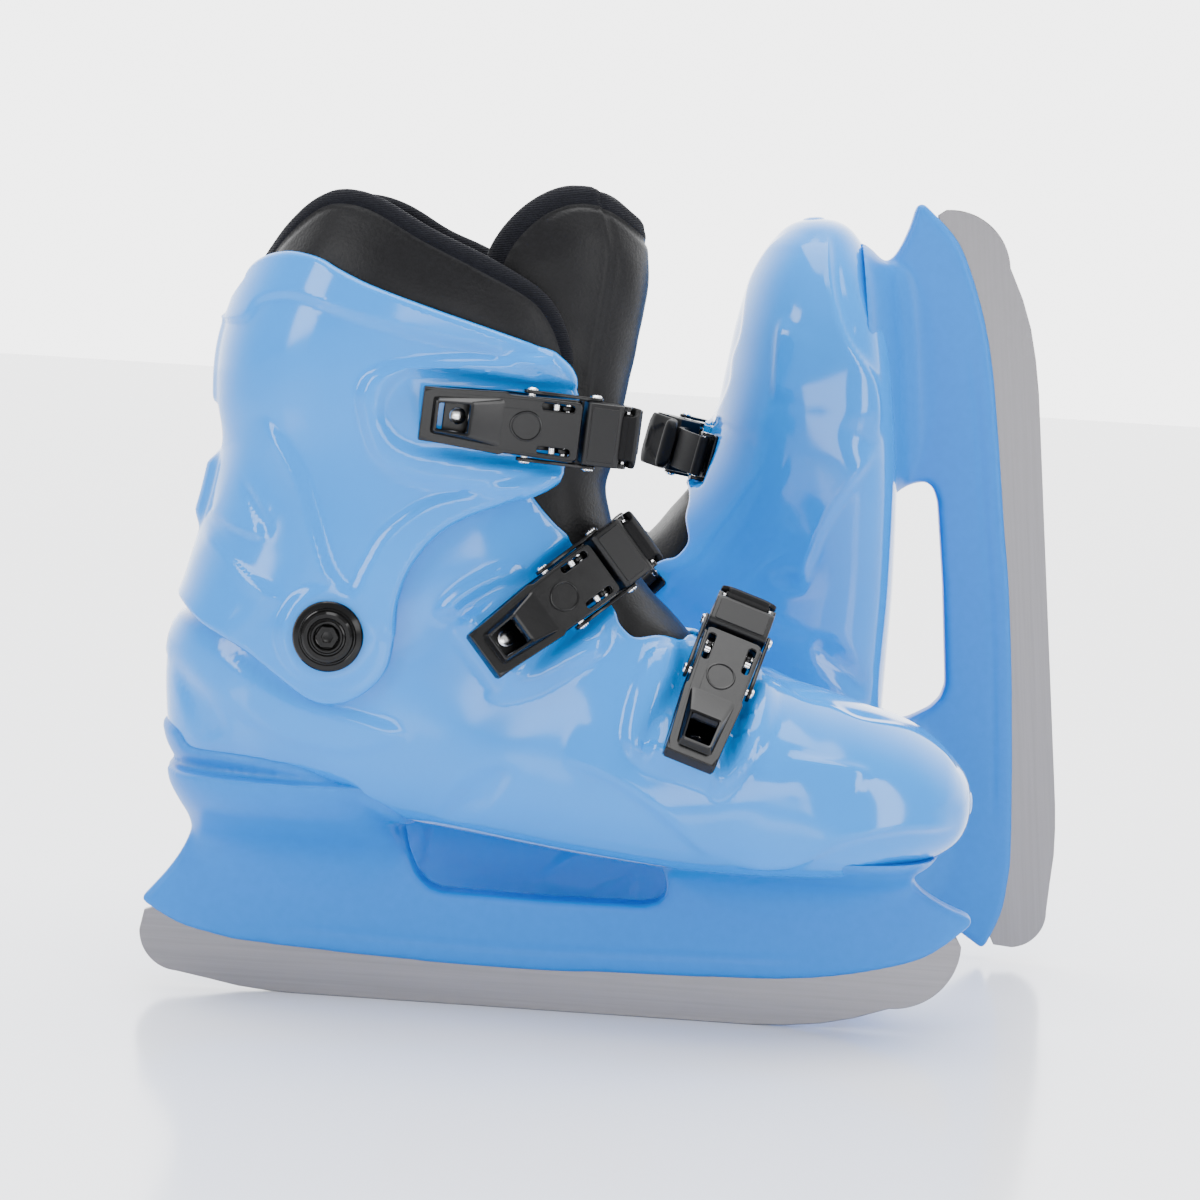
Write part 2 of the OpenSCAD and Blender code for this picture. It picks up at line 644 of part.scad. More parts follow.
left() buckle_links(cuff_buckle);  // left_cuff_buckle_links
left() buckle_head(cuff_buckle);  // left_cuff_buckle_head
left() buckle_tab(cuff_buckle);  // left_cuff_buckle_tab
left() strap(cuff_buckle);  // left_cuff_strap
left() buckle_base(instep_buckle);  // left_instep_buckle_base
left() buckle_lever(instep_buckle);  // left_instep_buckle_lever
left() buckle_links(instep_buckle);  // left_instep_buckle_links
left() buckle_head(instep_buckle);  // left_instep_buckle_head
left() buckle_tab(instep_buckle);  // left_instep_buckle_tab
left() strap(instep_buckle);  // left_instep_strap
left() buckle_base(toe_buckle);  // left_toe_buckle_base
left() buckle_lever(toe_buckle);  // left_toe_buckle_lever
left() buckle_links(toe_buckle);  // left_toe_buckle_links
left() buckle_head(toe_buckle);  // left_toe_buckle_head
left() buckle_tab(toe_buckle);  // left_toe_buckle_tab
left() strap(toe_buckle);  // left_toe_strap
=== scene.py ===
import json
import math
import bpy
import numpy as np
from mathutils import Matrix, Vector
from mathutils.bvhtree import BVHTree


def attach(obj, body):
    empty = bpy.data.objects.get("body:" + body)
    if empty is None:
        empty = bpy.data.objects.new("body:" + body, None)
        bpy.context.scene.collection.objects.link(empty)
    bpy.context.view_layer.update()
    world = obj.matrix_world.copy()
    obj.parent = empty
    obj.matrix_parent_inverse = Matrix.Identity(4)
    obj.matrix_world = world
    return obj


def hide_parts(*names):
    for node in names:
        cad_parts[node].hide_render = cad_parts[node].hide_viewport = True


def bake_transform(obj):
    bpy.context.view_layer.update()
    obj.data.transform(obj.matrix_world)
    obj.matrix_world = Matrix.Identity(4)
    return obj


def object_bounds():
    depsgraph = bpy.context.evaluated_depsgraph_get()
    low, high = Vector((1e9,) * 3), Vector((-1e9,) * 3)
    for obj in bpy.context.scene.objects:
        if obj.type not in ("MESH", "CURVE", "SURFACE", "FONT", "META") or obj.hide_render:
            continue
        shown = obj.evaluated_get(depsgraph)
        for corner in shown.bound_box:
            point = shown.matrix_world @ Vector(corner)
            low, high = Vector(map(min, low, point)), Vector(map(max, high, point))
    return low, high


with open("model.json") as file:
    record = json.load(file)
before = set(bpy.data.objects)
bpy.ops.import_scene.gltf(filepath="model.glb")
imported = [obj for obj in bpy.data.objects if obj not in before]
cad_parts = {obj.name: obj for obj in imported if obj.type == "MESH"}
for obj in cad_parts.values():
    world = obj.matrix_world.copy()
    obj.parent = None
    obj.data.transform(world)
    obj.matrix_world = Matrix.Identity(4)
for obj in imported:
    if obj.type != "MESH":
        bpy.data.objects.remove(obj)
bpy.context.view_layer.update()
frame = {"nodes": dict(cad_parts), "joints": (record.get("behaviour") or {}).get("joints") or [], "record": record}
JOINTS = {j["name"]: j for j in frame["joints"]}
MOUNTS = {m["name"]: m for m in frame["record"]["mounts"]}

# Every piece is built in the right skate's frame, in millimetres, and then
# stands once as it is and once mirrored where the left skate stands.
edge = MOUNTS["left_running_edge"]
LEFT_POS = np.array(edge["pos_m"]) * 1000
UP = -np.array(edge["axis"])
LEFT_AXES = np.array([[UP[2], 0, -UP[0]], [0, -1, 0], UP])
PIVOT = np.array(JOINTS["right_cuff_flex"]["pos_m"]) * 1000
WALL = 3.2            # moulded shell and cuff
FLOOR_GAP = 0.3       # least height of the left skate's heel
CAP_SEAT = 45.05      # inner face of a pivot cap
CUFF_SEAT = 50.0      # flat outer face of the cuff round its pivot
WEB_HALF, BLADE_HALF = 6, 1.6
PIPING = {"collar": 2.6, "tongue": 1.8}     # width of the sewn edge binding

# ---- stations: front point x, z, back point x, z, half width, egg, squareness
# at the back and at the front
BOOT = np.array([
    [152, 93, 152, 84, 8, 0, 2, 2], [150.5, 98, 150.5, 78.5, 17, 0, 2.1, 2],
    [147, 103, 147, 73.5, 24.5, 0, 2.3, 2.1], [140, 109, 140, 69, 31, 0, 2.5, 2.1],
    [128, 116, 128, 65, 39, 0.02, 2.8, 2.2], [112, 122, 112, 61.5, 46, 0.04, 3, 2.2],
    [94, 127, 94, 60, 50, 0.05, 3, 2.2], [76, 132, 76, 59.5, 51.5, 0.06, 3, 2.3],
    [61, 138.5, 60, 59.5, 51.5, 0.08, 3, 2.1], [50, 145, 42, 60, 50, 0.09, 3, 2.1],
    [41, 152, 22, 61.5, 47.5, 0.1, 3, 2.2], [33, 160, -4, 64, 45, 0.1, 3, 2.4],
    [26, 169, -34, 68, 44.5, 0.1, 3, 2.6], [20, 178, -66, 72, 43, 0.1, 3, 2.6],
    [16, 187, -98, 75.5, 42.8, 0.08, 2.9, 2.6], [13, 195, -126, 79, 43, 0.04, 2.7, 2.6],
    [10, 201, -142, 91, 43.6, 0, 2.5, 2.5], [8, 206, -146.5, 110, 43.8, 0, 2.3, 2.5],
    [5, 210, -146, 132, 43.8, -0.02, 2.2, 2.5], [2, 213, -138, 146, 43.8, -0.03, 2.1, 2.5],
    [-1, 215, -134, 155, 43.6, -0.03, 2.1, 2.5], [-4, 216.5, -129, 166, 43.4, -0.03, 2.1, 2.5],
    [-7, 218, -122, 176, 43, -0.03, 2.1, 2.5]])
CUFF = np.array([
    [30, 104, -147, 104, 47.6, 0, 2.4, 2.6], [26, 122, -148, 122, 48.6, 0, 2.8, 2.7],
    [22, 141, -147, 139, 49, 0, 2.8, 2.8], [18, 158, -141.5, 154, 49, 0, 2.7, 2.9],
    [15, 175, -137.5, 170, 49, 0, 2.5, 3], [13, 193, -133, 188, 49, 0, 2.4, 3],
    [12, 212, -130.5, 206, 49.5, 0, 2.4, 3], [12, 231, -133, 222, 50.5, 0, 2.4, 3],
    [13, 249, -132.5, 240, 51.5, 0, 2.4, 3], [14, 267, -128, 258, 52, 0, 2.4, 2.8],
    [14, 285, -121, 276, 51, 0, 2.4, 2.6], [12, 303, -113, 297, 48, 0, 2.4, 2.4]])
# Tongue: front point x, z, outward tilt, half width, depth, thickness
TONGUE = np.array([
    [4, 314, 0, 24, 46, 9], [14, 302, 0, 26, 50, 9], [19.5, 291, 0, 28, 53, 9.5],
    [21.5, 277, 0, 29, 55, 10], [18, 252, 0, 29.5, 52, 10], [14.5, 228, 0, 29, 46, 9.5],
    [12, 210, 8, 28, 36, 8], [9.5, 197, 16, 27, 28, 7], [12.5, 183, 30, 27, 26, 7],
    [19, 170.5, 42, 27, 24, 7], [28, 159, 48, 26, 20, 6], [37, 150.5, 53, 25, 15, 5],
    [46, 141.5, 58, 21, 10, 4]])


# ---- numbers and curves
def spline(table, v):
    last = len(table) - 1
    v = np.clip(v, 0, last)
    i = np.minimum(v.astype(int), last - 1)
    t = (v - i)[..., None]
    p0, p1 = table[np.maximum(i - 1, 0)], table[i]
    p2, p3 = table[i + 1], table[np.minimum(i + 2, last)]
    return 0.5 * (2 * p1 + (p2 - p0) * t + (2 * p0 - 5 * p1 + 4 * p2 - p3) * t ** 2
        + (3 * p1 - p0 - 3 * p2 + p3) * t ** 3)


def smooth_line(points, closed=False, per=6):
    p = np.array(points, float)
    if closed:
        n = len(p)
        p = np.vstack([p[-1:], p, p[:2]])
        return spline(p, 1 + np.arange(n * per) / per)
    return spline(p, np.arange((len(p) - 1) * per + 1) / per)


def step(x, a, b):
    t = np.clip((x - a) / (b - a), 0, 1)
    return t * t * (3 - 2 * t)


def nearest(p, line, closed=False):
    """Distance to a line, the side it is on (+1 is its left), and the share of the way along."""
    a = line if closed else line[:-1]
    b = np.roll(line, -1, 0) if closed else line[1:]
    ab = b - a
    size = np.maximum((ab ** 2).sum(1), 1e-9)
    ap = p[:, None] - a[None]
    t = np.clip((ap * ab[None]).sum(2) / size, 0, 1)
    off = ap - t[..., None] * ab[None]
    d2 = (off ** 2).sum(2)
    k = d2.argmin(1)
    rows = np.arange(len(p))
    cross = ab[k, 0] * ap[rows, k, 1] - ab[k, 1] * ap[rows, k, 0]
    run = np.concatenate([[0], np.cumsum(np.sqrt(size))])
    u = (run[k] + t[rows, k] * np.sqrt(size[k])) / run[-1]
    return np.sqrt(d2[rows, k]), np.sign(cross), u


def inside(p, polygon):
    """Distance to a polygon's edge, above 0 inside it."""
    d, _, _ = nearest(p, polygon, closed=True)
    a, b = polygon, np.roll(polygon, -1, 0)
    x, z = p[:, :1], p[:, 1:]
    dz = np.where(np.abs(b[:, 1] - a[:, 1]) < 1e-9, 1e-9, b[:, 1] - a[:, 1])
    over = (a[:, 1] > z) != (b[:, 1] > z)
    hit = over & (x < a[:, 0] + (z - a[:, 1]) * (b[:, 0] - a[:, 0]) / dz)
    return np.where(hit.sum(1) % 2 == 1, d, -d)


def plateau(p, outline, soft):
    """1 inside an outline and 0 outside it, with an edge as wide as soft."""
    return step(inside(p, smooth_line(outline, True, 5)), -soft / 2, soft / 2)


def ridge(p, line, width, ends=0.12):
    """A rounded rib along a line, which fades at its ends."""
    d, _, u = nearest(p, smooth_line(line))
    return np.exp(-(d / width) ** 2) * step(u, 0, ends) * step(1 - u, 0, ends)


def crease(p, line, steep, fall, ends=0.18):
    """A step along a line: steep on its left, falling away slowly on its right."""
    d, side, u = nearest(p, smooth_line(line))
    shape = np.where(side > 0, np.exp(-(d / steep) ** 2), np.exp(-d / fall))
    return shape * step(u, 0, ends) * step(1 - u, 0, ends)


# ---- meshes as arrays
def squared(a, power):
    """Cosine and sine of angles, pulled towards a rounded square by a power below 1."""
    return [np.sign(v) * np.abs(v) ** power for v in (np.cos(a), np.sin(a))]


def ring_points(table, v, a):
    """Points at angles a of the sections at v along a table of stations."""
    s, a = spline(table, v), np.radians(a)
    c, w = squared(a, 2 / np.where(np.cos(a) > 0, s[..., 6], s[..., 7]))
    return np.stack([(s[..., 0] + s[..., 2]) / 2 - (s[..., 0] - s[..., 2]) / 2 * c, -s[..., 4] * w
        * (1 + s[..., 5] * c), (s[..., 1] + s[..., 3]) / 2 - (s[..., 1] - s[..., 3]) / 2 * c], -1)


def loft(table, v, half_cols):
    """Rings at v, with evenly spaced points: (rows, 2 * half_cols, 3)."""
    fine = np.linspace(0, 180, 541)
    rows = []
    for value in v:
        p = ring_points(table, np.full(len(fine), float(value)), fine)
        run = np.concatenate([[0], np.cumsum(np.linalg.norm(np.diff(p, axis=0), axis=1))])
        a = np.interp(np.linspace(0, run[-1], half_cols + 1), run, fine)
        half = ring_points(table, np.full(half_cols + 1, float(value)), a)
        rows.append(np.vstack([half, (half * [1, -1, 1])[-2:0:-1]]))
    return np.array(rows)


def grid(rows, cols, closed=False):
    faces = []
    for i in range(rows - 1):
        for j in range(cols if closed else cols - 1):
            k = (j + 1) % cols
            faces.append((i * cols + j, i * cols + k, (i + 1) * cols + k, (i + 1) * cols + j))
    return faces


def vertex_normals(p, faces):
    n = np.zeros_like(p)
    quads = np.array([f if len(f) == 4 else (f[0], f[1], f[2], f[2]) for f in faces])
    cross = np.cross(p[quads[:, 2]] - p[quads[:, 0]], p[quads[:, 3]] - p[quads[:, 1]])
    flat = np.linalg.norm(cross, axis=1) < 1e-12
    cross[flat] = np.cross(p[quads[:, 1]] - p[quads[:, 0]], p[quads[:, 2]] - p[quads[:, 0]])[flat]
    for k in range(4):
        np.add.at(n, quads[:, k], cross)
    return n / np.maximum(np.linalg.norm(n, axis=1, keepdims=True), 1e-9)


def outward(p, faces, centre):
    """The faces turned, if need be, so that they look away from centre."""
    n = vertex_normals(p, faces)
    if ((p - centre) * n).sum() < 0:
        faces = [f[::-1] for f in faces]
        n = -n
    return faces, n


def clip(data, faces, f, both=False):
    """The part of a mesh where f > 0, cut along f = 0. data holds any numbers per vertex.
    With both, the other part stays too and the last thing given back says which faces are in it."""
    extra, cut, kept, rest = [], {}, [], []
    for face in faces:
        signs = [f[i] > 0 for i in face]
        if all(signs):
            kept.append(tuple(face))
            continue
        if not any(signs):
            rest.append(tuple(face))
            continue
        out, other = [], []
        for k, i in enumerate(face):
            j = face[(k + 1) % len(face)]
            (out if f[i] > 0 else other).append(i)
            if (f[i] > 0) != (f[j] > 0):
                key = (min(i, j), max(i, j))
                if key not in cut:
                    cut[key] = len(data) + len(extra)
                    t = f[key[0]] / (f[key[0]] - f[key[1]])
                    extra.append(data[key[0]] * (1 - t) + data[key[1]] * t)
                out.append(cut[key])
                other.append(cut[key])
        if len(out) > 2:
            kept.append(tuple(out))
        if len(other) > 2:
            rest.append(tuple(other))
    data = np.vstack([data, np.array(extra)]) if extra else data
    if both:
        return data, kept + rest, [0] * len(kept) + [1] * len(rest)
    used = sorted({i for face in kept for i in face})
    new = {i: k for k, i in enumerate(used)}
    return data[used], [tuple(new[i] for i in face) for face in kept]


def thick(outer, inner, faces, turns=5):
    """A wall between two skins with a half-round rim. Faces are marked outer, inner or rim."""
    n = len(outer)
    directed = {}
    for face in faces:
        for k in range(len(face)):
            directed[(face[k], face[(k + 1) % len(face)])] = True
    rim = [e for e in directed if (e[1], e[0]) not in directed]
    across = outer - inner
    size = np.linalg.norm(across, axis=1, keepdims=True)
    normal = across / np.maximum(size, 1e-9)
    out = np.zeros_like(outer)
    for a, b in rim:
        side = np.cross(outer[b] - outer[a], normal[a])
        out[a] += side
        out[b] += side
    out -= normal * (out * normal).sum(1, keepdims=True)
    out /= np.maximum(np.linalg.norm(out, axis=1, keepdims=True), 1e-9)
    verts = [outer, inner]
    index = {}
    total = 2 * n
    for a in sorted({i for e in rim for i in e}):
        angles = np.pi * np.arange(1, turns) / turns
        middle, half = (outer[a] + inner[a]) / 2, across[a] / 2
        arc = middle + half * np.cos(angles)[:, None] + out[a] * (size[a] / 2) * np.sin(angles)[:,
            None]
        verts.append(arc)
        index[a] = [a] + list(range(total, total + turns - 1)) + [a + n]
        total += turns - 1
    skins = [tuple(f) for f in faces] + [tuple(i + n for i in f[::-1]) for f in faces]
    rims = [(index[b][k], index[a][k], index[a][k + 1], index[b][k + 1]) for a, b in rim
        for k in range(turns)]
    kinds = [0] * len(faces) + [1] * len(faces) + [2] * len(rims)
    return np.vstack(verts), skins + rims, kinds


def joined(*parts):
    """Several (points, faces, materials) as one."""
    points, faces, kinds, base = [], [], [], 0
    for p, f, m in parts:
        points.append(p)
        faces += [tuple(i + base for i in face) for face in f]
        kinds += list(m) if isinstance(m, (list, tuple)) else [m] * len(f)
        base += len(p)
    return np.vstack(points), faces, kinds


def linked(name, data):
    """An object of that name in the scene."""
    ob = bpy.data.objects.new(name, data)
    bpy.context.scene.collection.objects.link(ob)
    return ob


def from_object(ob):
    """Points and faces of an object with its modifiers applied. The object is removed."""
    dg = bpy.context.evaluated_depsgraph_get()
    mesh = bpy.data.meshes.new_from_object(ob.evaluated_get(dg))
    p = np.zeros(len(mesh.vertices) * 3)
    mesh.vertices.foreach_get("co", p)
    faces = [tuple(f.vertices) for f in mesh.polygons]
    bpy.data.meshes.remove(mesh)
    bpy.data.objects.remove(ob)
    return p.reshape(-1, 3), faces


def extrude(outline, low, high, holes=(), bevel=0.4, axis="z", steps=2):
    """A plate with rounded edges. axis y: the outline is x, z and the plate is low..high in y."""
    curve = bpy.data.curves.new("plate", "CURVE")
    curve.dimensions = "2D"
    curve.fill_mode = "BOTH"
    curve.extrude = (high - low) / 2 - bevel
    curve.bevel_depth = bevel
    curve.bevel_resolution = steps
    curve.offset = -bevel
    for loop in [outline, *holes]:
        s = curve.splines.new("POLY")
        s.points.add(len(loop) - 1)
        for point, (x, y) in zip(s.points, loop):
            point.co = (x, y, 0, 1)
        s.use_cyclic_u = True
    p, faces = from_object(linked("plate", curve))
    bpy.data.curves.remove(curve)
    p[:, 2] += (high + low) / 2
    if axis == "y":
        p = np.stack([p[:, 0], p[:, 2], p[:, 1]], 1)
        faces = [f[::-1] for f in faces]
    return p, faces


def rounded(points, radius, steps=4):
    """A polygon with rounded corners."""
    p = np.array(points, float)
    out = []
    for i in range(len(p)):
        a, b, c = p[i - 1], p[i], p[(i + 1) % len(p)]
        u, w = (a - b) / np.linalg.norm(a - b), (c - b) / np.linalg.norm(c - b)
        r = min(radius, np.linalg.norm(a - b) / 2.1, np.linalg.norm(c - b) / 2.1)
        for t in np.linspace(0, 1, steps + 1):
            out.append(b + u * r * (1 - t) ** 2 + w * r * t ** 2)
    return np.array(out)


def revolve(profile, turns=40):
    """Profile of radius, height turned round Z."""
    prof = np.array(profile, float)
    a = np.radians(np.arange(turns) * 360 / turns)
    return ring_loft(np.stack([prof[:, None, 0] * np.cos(a), prof[:, None, 0] * np.sin(a),
        np.repeat(prof[:, 1:2], turns, 1)], -1), True)


def rod(at, half, r):
    """A round pin along Y at x, z = at, with softened ends."""
    p, faces = revolve([[r * 0.8, -half], [r, -half + 0.2 * r], [r, half - 0.2 * r],
        [r * 0.8, half]], 20)
    return np.stack([p[:, 0] + at[0], -p[:, 2], p[:, 1] + at[1]], 1), faces


def stud(at, r, h):
    """A low dome standing on x, y, z = at, along Z."""
    p, faces = revolve([[r, 0], [r, h * 0.35], [r * 0.86, h * 0.75], [r * 0.5, h],
        [0.05, h * 1.04]], 24)
    return p + np.array(at), faces


def ring_loft(rings, capped=False):
    """Closed rings of equal length as one band of faces, with or without its two ends."""
    rings = np.array(rings)
    rows, cols = rings.shape[:2]
    faces = grid(rows, cols, True)
    if capped:
        faces += [tuple(range(cols))[::-1], tuple(range((rows - 1) * cols, rows * cols))]
    return rings.reshape(-1, 3), faces


def remesh(parts, voxel, rounds):
    """One skin round overlapping solids, with its creases softened."""
    p, faces, _ = joined(*parts)
    mesh = bpy.data.meshes.new("solid")
    mesh.from_pydata(p, [], faces)
    ob = linked("solid", mesh)
    m = ob.modifiers.new("remesh", "REMESH")
    m.mode = "VOXEL"
    m.voxel_size = voxel
    s = ob.modifiers.new("smooth", "SMOOTH")
    s.factor = 0.5
    s.iterations = rounds
    return from_object(ob)


# ---- placing
def placed(points, side):
    """Points of the right skate's frame where that side's skate stands."""
    points = np.array(points, float)
    return points if side == "right" else LEFT_POS + points @ LEFT_AXES


def emit(name, body, slot, mats, points, faces, kinds=None, nodes=None, sharp=35, fill=None,
        bend=None):
    """Both skates' copies of a piece. The body and the CAD nodes that it replaces, which are
    the one of its own name if none is given, are named without the side."""
    for side in ("right", "left"):
        p = placed(points, side)
        f = faces if side == "right" else [face[::-1] for face in faces]
        mesh = bpy.data.meshes.new(f"{side}_{name}_look")
        mesh.from_pydata(p / 1000, [], f)
        co = mesh.attributes.new("skate_co", "FLOAT_VECTOR", "POINT")
        co.data.foreach_set("vector", (points / 1000).ravel())
        for m in mats:
            mesh.materials.append(m)
        if kinds is not None:
            mesh.polygons.foreach_set("material_index", list(kinds))
        mesh.shade_smooth()
        if sharp:
            mesh.set_sharp_from_angle(angle=math.radians(sharp))
        mesh.update()
        ob = linked(f"{side}_{name}_look", mesh)
        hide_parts(*[f"{side}_{n}" for n in nodes or [name]])
        if bend:
            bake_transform(ob)
        else:
            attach(ob, f"{side}_{body}")


# ---- materials
def set_inputs(node, **values):
    """Sets input sockets: To_Min is the socket named To Min."""
    for name, value in values.items():
        node.inputs[name.replace("_", " ")].default_value = value


def add_node(tree, kind, **values):
    node = tree.nodes.new("ShaderNode" + kind)
    set_inputs(node, **values)
    return node


def two_tone(tree, fac, out, colours, stops=(0, 1)):
    """A ramp between two colours, from the socket fac to the socket out."""
    ramp = add_node(tree, "ValToRGB")
    for element, colour, stop in zip(ramp.color_ramp.elements, colours, stops):
        element.position = stop
        element.color = (*colour, 1)
    tree.links.new(fac, ramp.inputs["Fac"])
    tree.links.new(ramp.outputs["Color"], out)


def blank(name):
    """A new material, its nodes and its shader."""
    m = bpy.data.materials.new(name)
    m.use_nodes = True
    return m, m.node_tree, m.node_tree.nodes["Principled BSDF"]


def material(name, colour, rough, metal=0.0, coat=0.0, grain=60, bump=0.0, vary=0.04,
        stretch=(1, 1, 1), rough_vary=0.0, local=True, spec=0.5, detail=4, ribs=None):
    """Principled finish. Its colour, roughness and surface come from noise of that grain, per
    metre."""
    m, tree, shader = blank(name)
    link = tree.links.new
    set_inputs(shader, Metallic=metal, Specular_IOR_Level=spec, Coat_Weight=coat,
        Coat_Roughness=0.05)
    place = add_node(tree, "Attribute" if local else "TexCoord")
    if local:
        place.attribute_name = "skate_co"
    out = place.outputs["Vector" if local else "Object"]
    mapping = add_node(tree, "Mapping", Scale=stretch)
    noise = add_node(tree, "TexNoise", Scale=grain, Detail=detail)
    link(out, mapping.inputs["Vector"])
    link(mapping.outputs["Vector"], noise.inputs["Vector"])
    tones = [[min(1, c * (1 + change)) for c in colour] for change in (-vary, vary)]
    two_tone(tree, noise.outputs["Fac"], shader.inputs["Base Color"], tones, (0.3, 0.7))
    span = add_node(tree, "MapRange", To_Min=max(0.02, rough - rough_vary), To_Max=rough
        + rough_vary)
    link(noise.outputs["Fac"], span.inputs["Value"])
    link(span.outputs["Result"], shader.inputs["Roughness"])
    if bump:
        height = noise.outputs["Fac"]
        if ribs:
            wave = add_node(tree, "TexWave", Scale=ribs[1], Distortion=0.6)
            wave.bands_direction = ribs[0]
            link(out, wave.inputs["Vector"])
            height = wave.outputs["Fac"]
        relief_node = add_node(tree, "Bump", Strength=1, Distance=bump / 1000)
        link(height, relief_node.inputs["Height"])
        link(relief_node.outputs["Normal"], shader.inputs["Normal"])
    return m


BLUE = material("glossy_blue", (0.0, 0.215, 0.68), 0.11, spec=0.4, coat=0.12, grain=24, vary=0.03,
    rough_vary=0.03)
SATIN = material("satin_blue", (0.0, 0.165, 0.56), 0.38, spec=0.25, grain=300, bump=0.03, vary=0.03,
    rough_vary=0.05)
STEEL = material("brushed_steel", (0.20, 0.195, 0.205), 0.36, 1.0, grain=900, bump=0.02, vary=0.08,
    stretch=(0.02, 1, 1), rough_vary=0.08)
SILVER = material("bright_steel", (0.75, 0.75, 0.76), 0.2, 1.0, grain=200, vary=0.04,
    rough_vary=0.05)
SILVER_CAD = material("bright_steel_cad", (0.75, 0.75, 0.76), 0.22, 1.0, grain=200, local=False,
    rough_vary=0.05)
PAINT = material("black_paint", (0.0018, 0.0018, 0.0022), 0.24, spec=0.3, grain=300, bump=0.003,
    vary=0.15, rough_vary=0.04)
SATIN_BLACK = material("satin_black", (0.003, 0.003, 0.0035), 0.42, spec=0.3, grain=800, bump=0.006,
    vary=0.15, rough_vary=0.05)
CAP = material("glossy_black", (0.003, 0.003, 0.003), 0.12, coat=0.05, spec=0.2, grain=80, vary=0.1,
    rough_vary=0.03)
RUBBER = material("matt_black", (0.003, 0.003, 0.0035), 0.6, spec=0.14, grain=1500, bump=0.04,
    vary=0.15, rough_vary=0.06)
LEATHER = material("black_leather", (0.0028, 0.0028, 0.0036), 0.42, spec=0.2, grain=900, bump=0.16,
    vary=0.25, rough_vary=0.1, detail=6)
BINDING = material("ribbed_textile", (0.006, 0.0065, 0.010), 0.85, spec=0.15, grain=1200, bump=0.5,
    vary=0.3, ribs=("Z", 500))
FELT = material("insole_felt", (0.03, 0.03, 0.034), 0.9, spec=0.2, grain=1500, bump=0.3, vary=0.3,
    local=False)

# ---- buckles' frames
MIDS = {"cuff": (31.8, -48.1, 117), "instep": (34.4, -36.6, 144), "toe": (24, -16.2, 203)}
LINK_PIN, LINK_END, TAB_PIN = np.array([-13.5, -0.8]), np.array([9, 0]), np.array([20.6, 2.4])
PLATE_Z, LEVER_HALF, LEVER_LEN = -8, 11, 48
TAIL = 3.5                     # how much longer the lever's tail is drawn
STRAP_START = (7.5, -5)        # where the strap leaves its head
PITCH, STRAP_HALF = 3.3, 8     # the strap's teeth and half width


class Buckle:
    """A buckle's own frame: X towards its head, Y along its pins and Z away from the boot."""

    def __init__(self, name):
        self.body = "cuff" if name == "cuff" else "boot"
        lever, links = JOINTS[f"right_{name}_lever_hinge"], JOINTS[f"right_{name}_links_hinge"]
        self.at = np.array(lever["pos_m"]) * 1000
        y = np.array(lever["axis"])
        d = np.array(links["pos_m"]) * 1000 - self.at
        e1 = d / np.linalg.norm(d)
        e2 = np.cross(e1, y)
        f = math.atan2(LINK_PIN[1], LINK_PIN[0])
        x = math.cos(f) * e1 - math.sin(f) * e2
        self.axes = np.array([x, y, np.cross(x, y)])
        anchor = self.local(np.array(JOINTS[f"right_{name}_strap_hinge"]["pos_m"])[None] * 1000)[0]
        self.anchor = anchor[[0, 2]]
        self.turn = math.radians(MIDS[name][2])
        self.centre, self.radius = circle(STRAP_START, MIDS[name][:2], self.anchor)

    def world(self, p):
        return self.at + p @ self.axes

    def local(self, p):
        return (p - self.at) @ self.axes.T

    def on_anchor(self, p):
        """Points of the anchor's own frame, whose X points at the boot, in the buckle's frame."""
        c, s = math.cos(self.turn), math.sin(self.turn)
        x = self.anchor[0] + p[:, 0] * c - p[:, 2] * s
        z = self.anchor[1] + p[:, 0] * s + p[:, 2] * c
        return np.stack([x, p[:, 1], z], 1)

    def to_anchor(self, q):
        c, s = math.cos(self.turn), math.sin(self.turn)
        dx, dz = q[:, 0] - self.anchor[0], q[:, 2] - self.anchor[1]
        return np.stack([dx * c + dz * s, q[:, 1], -dx * s + dz * c], 1)


def circle(p, q, r):
    """Centre and radius of the circle through three points."""
    (px, py), (qx, qy), (rx, ry) = p, q, r
    d = 2 * (px * (qy - ry) + qx * (ry - py) + rx * (py - qy))
    pp, qq, rr = px * px + py * py, qx * qx + qy * qy, rx * rx + ry * ry
    c = np.array([(pp * (qy - ry) + qq * (ry - py) + rr * (py - qy)) / d,
        (pp * (rx - qx) + qq * (px - rx) + rr * (qx - px)) / d])
    return c, math.dist(p, c)


BUCKLES = {n: Buckle(n) for n in ("cuff", "instep", "toe")}


def seat(points, buckle, pocket=None):
    """The wall pressed flat under a buckle's base and under its strap anchor."""
    q = buckle.local(points)
    near = np.abs(q[:, 2] - PLATE_Z) < 26
    width = step(LEVER_HALF + 5.2 - np.abs(q[:, 1]), 0, 4.2)
    cut = width * step(q[:, 0], -58, -52) * step(30 - q[:, 0], 0, 8)
    if pocket is not None:
        cut = np.maximum(cut, pocket * step(30 - q[:, 0], 0, 8))
    pad = width * step(q[:, 0], -50, -43) * step(12 - q[:, 0], 0, 8)
    lift = PLATE_Z - q[:, 2]
    move = np.where(lift < 0, lift * cut, lift * pad) * near
    q[:, 2] += move
    a = buckle.to_anchor(q)
    close = (np.abs(a[:, 0] - 4.2) < 14)
    round_it = step(11.6 - np.abs(a[:, 1]), 0, 1.8) * step(7.2 - np.abs(a[:, 2]), 0, 1.8)
    a[:, 0] += (4.25 - a[:, 0]) * round_it * close
    q = np.where(((round_it > 0) & close)[:, None], buckle.on_anchor(a), q)
    return buckle.world(q)


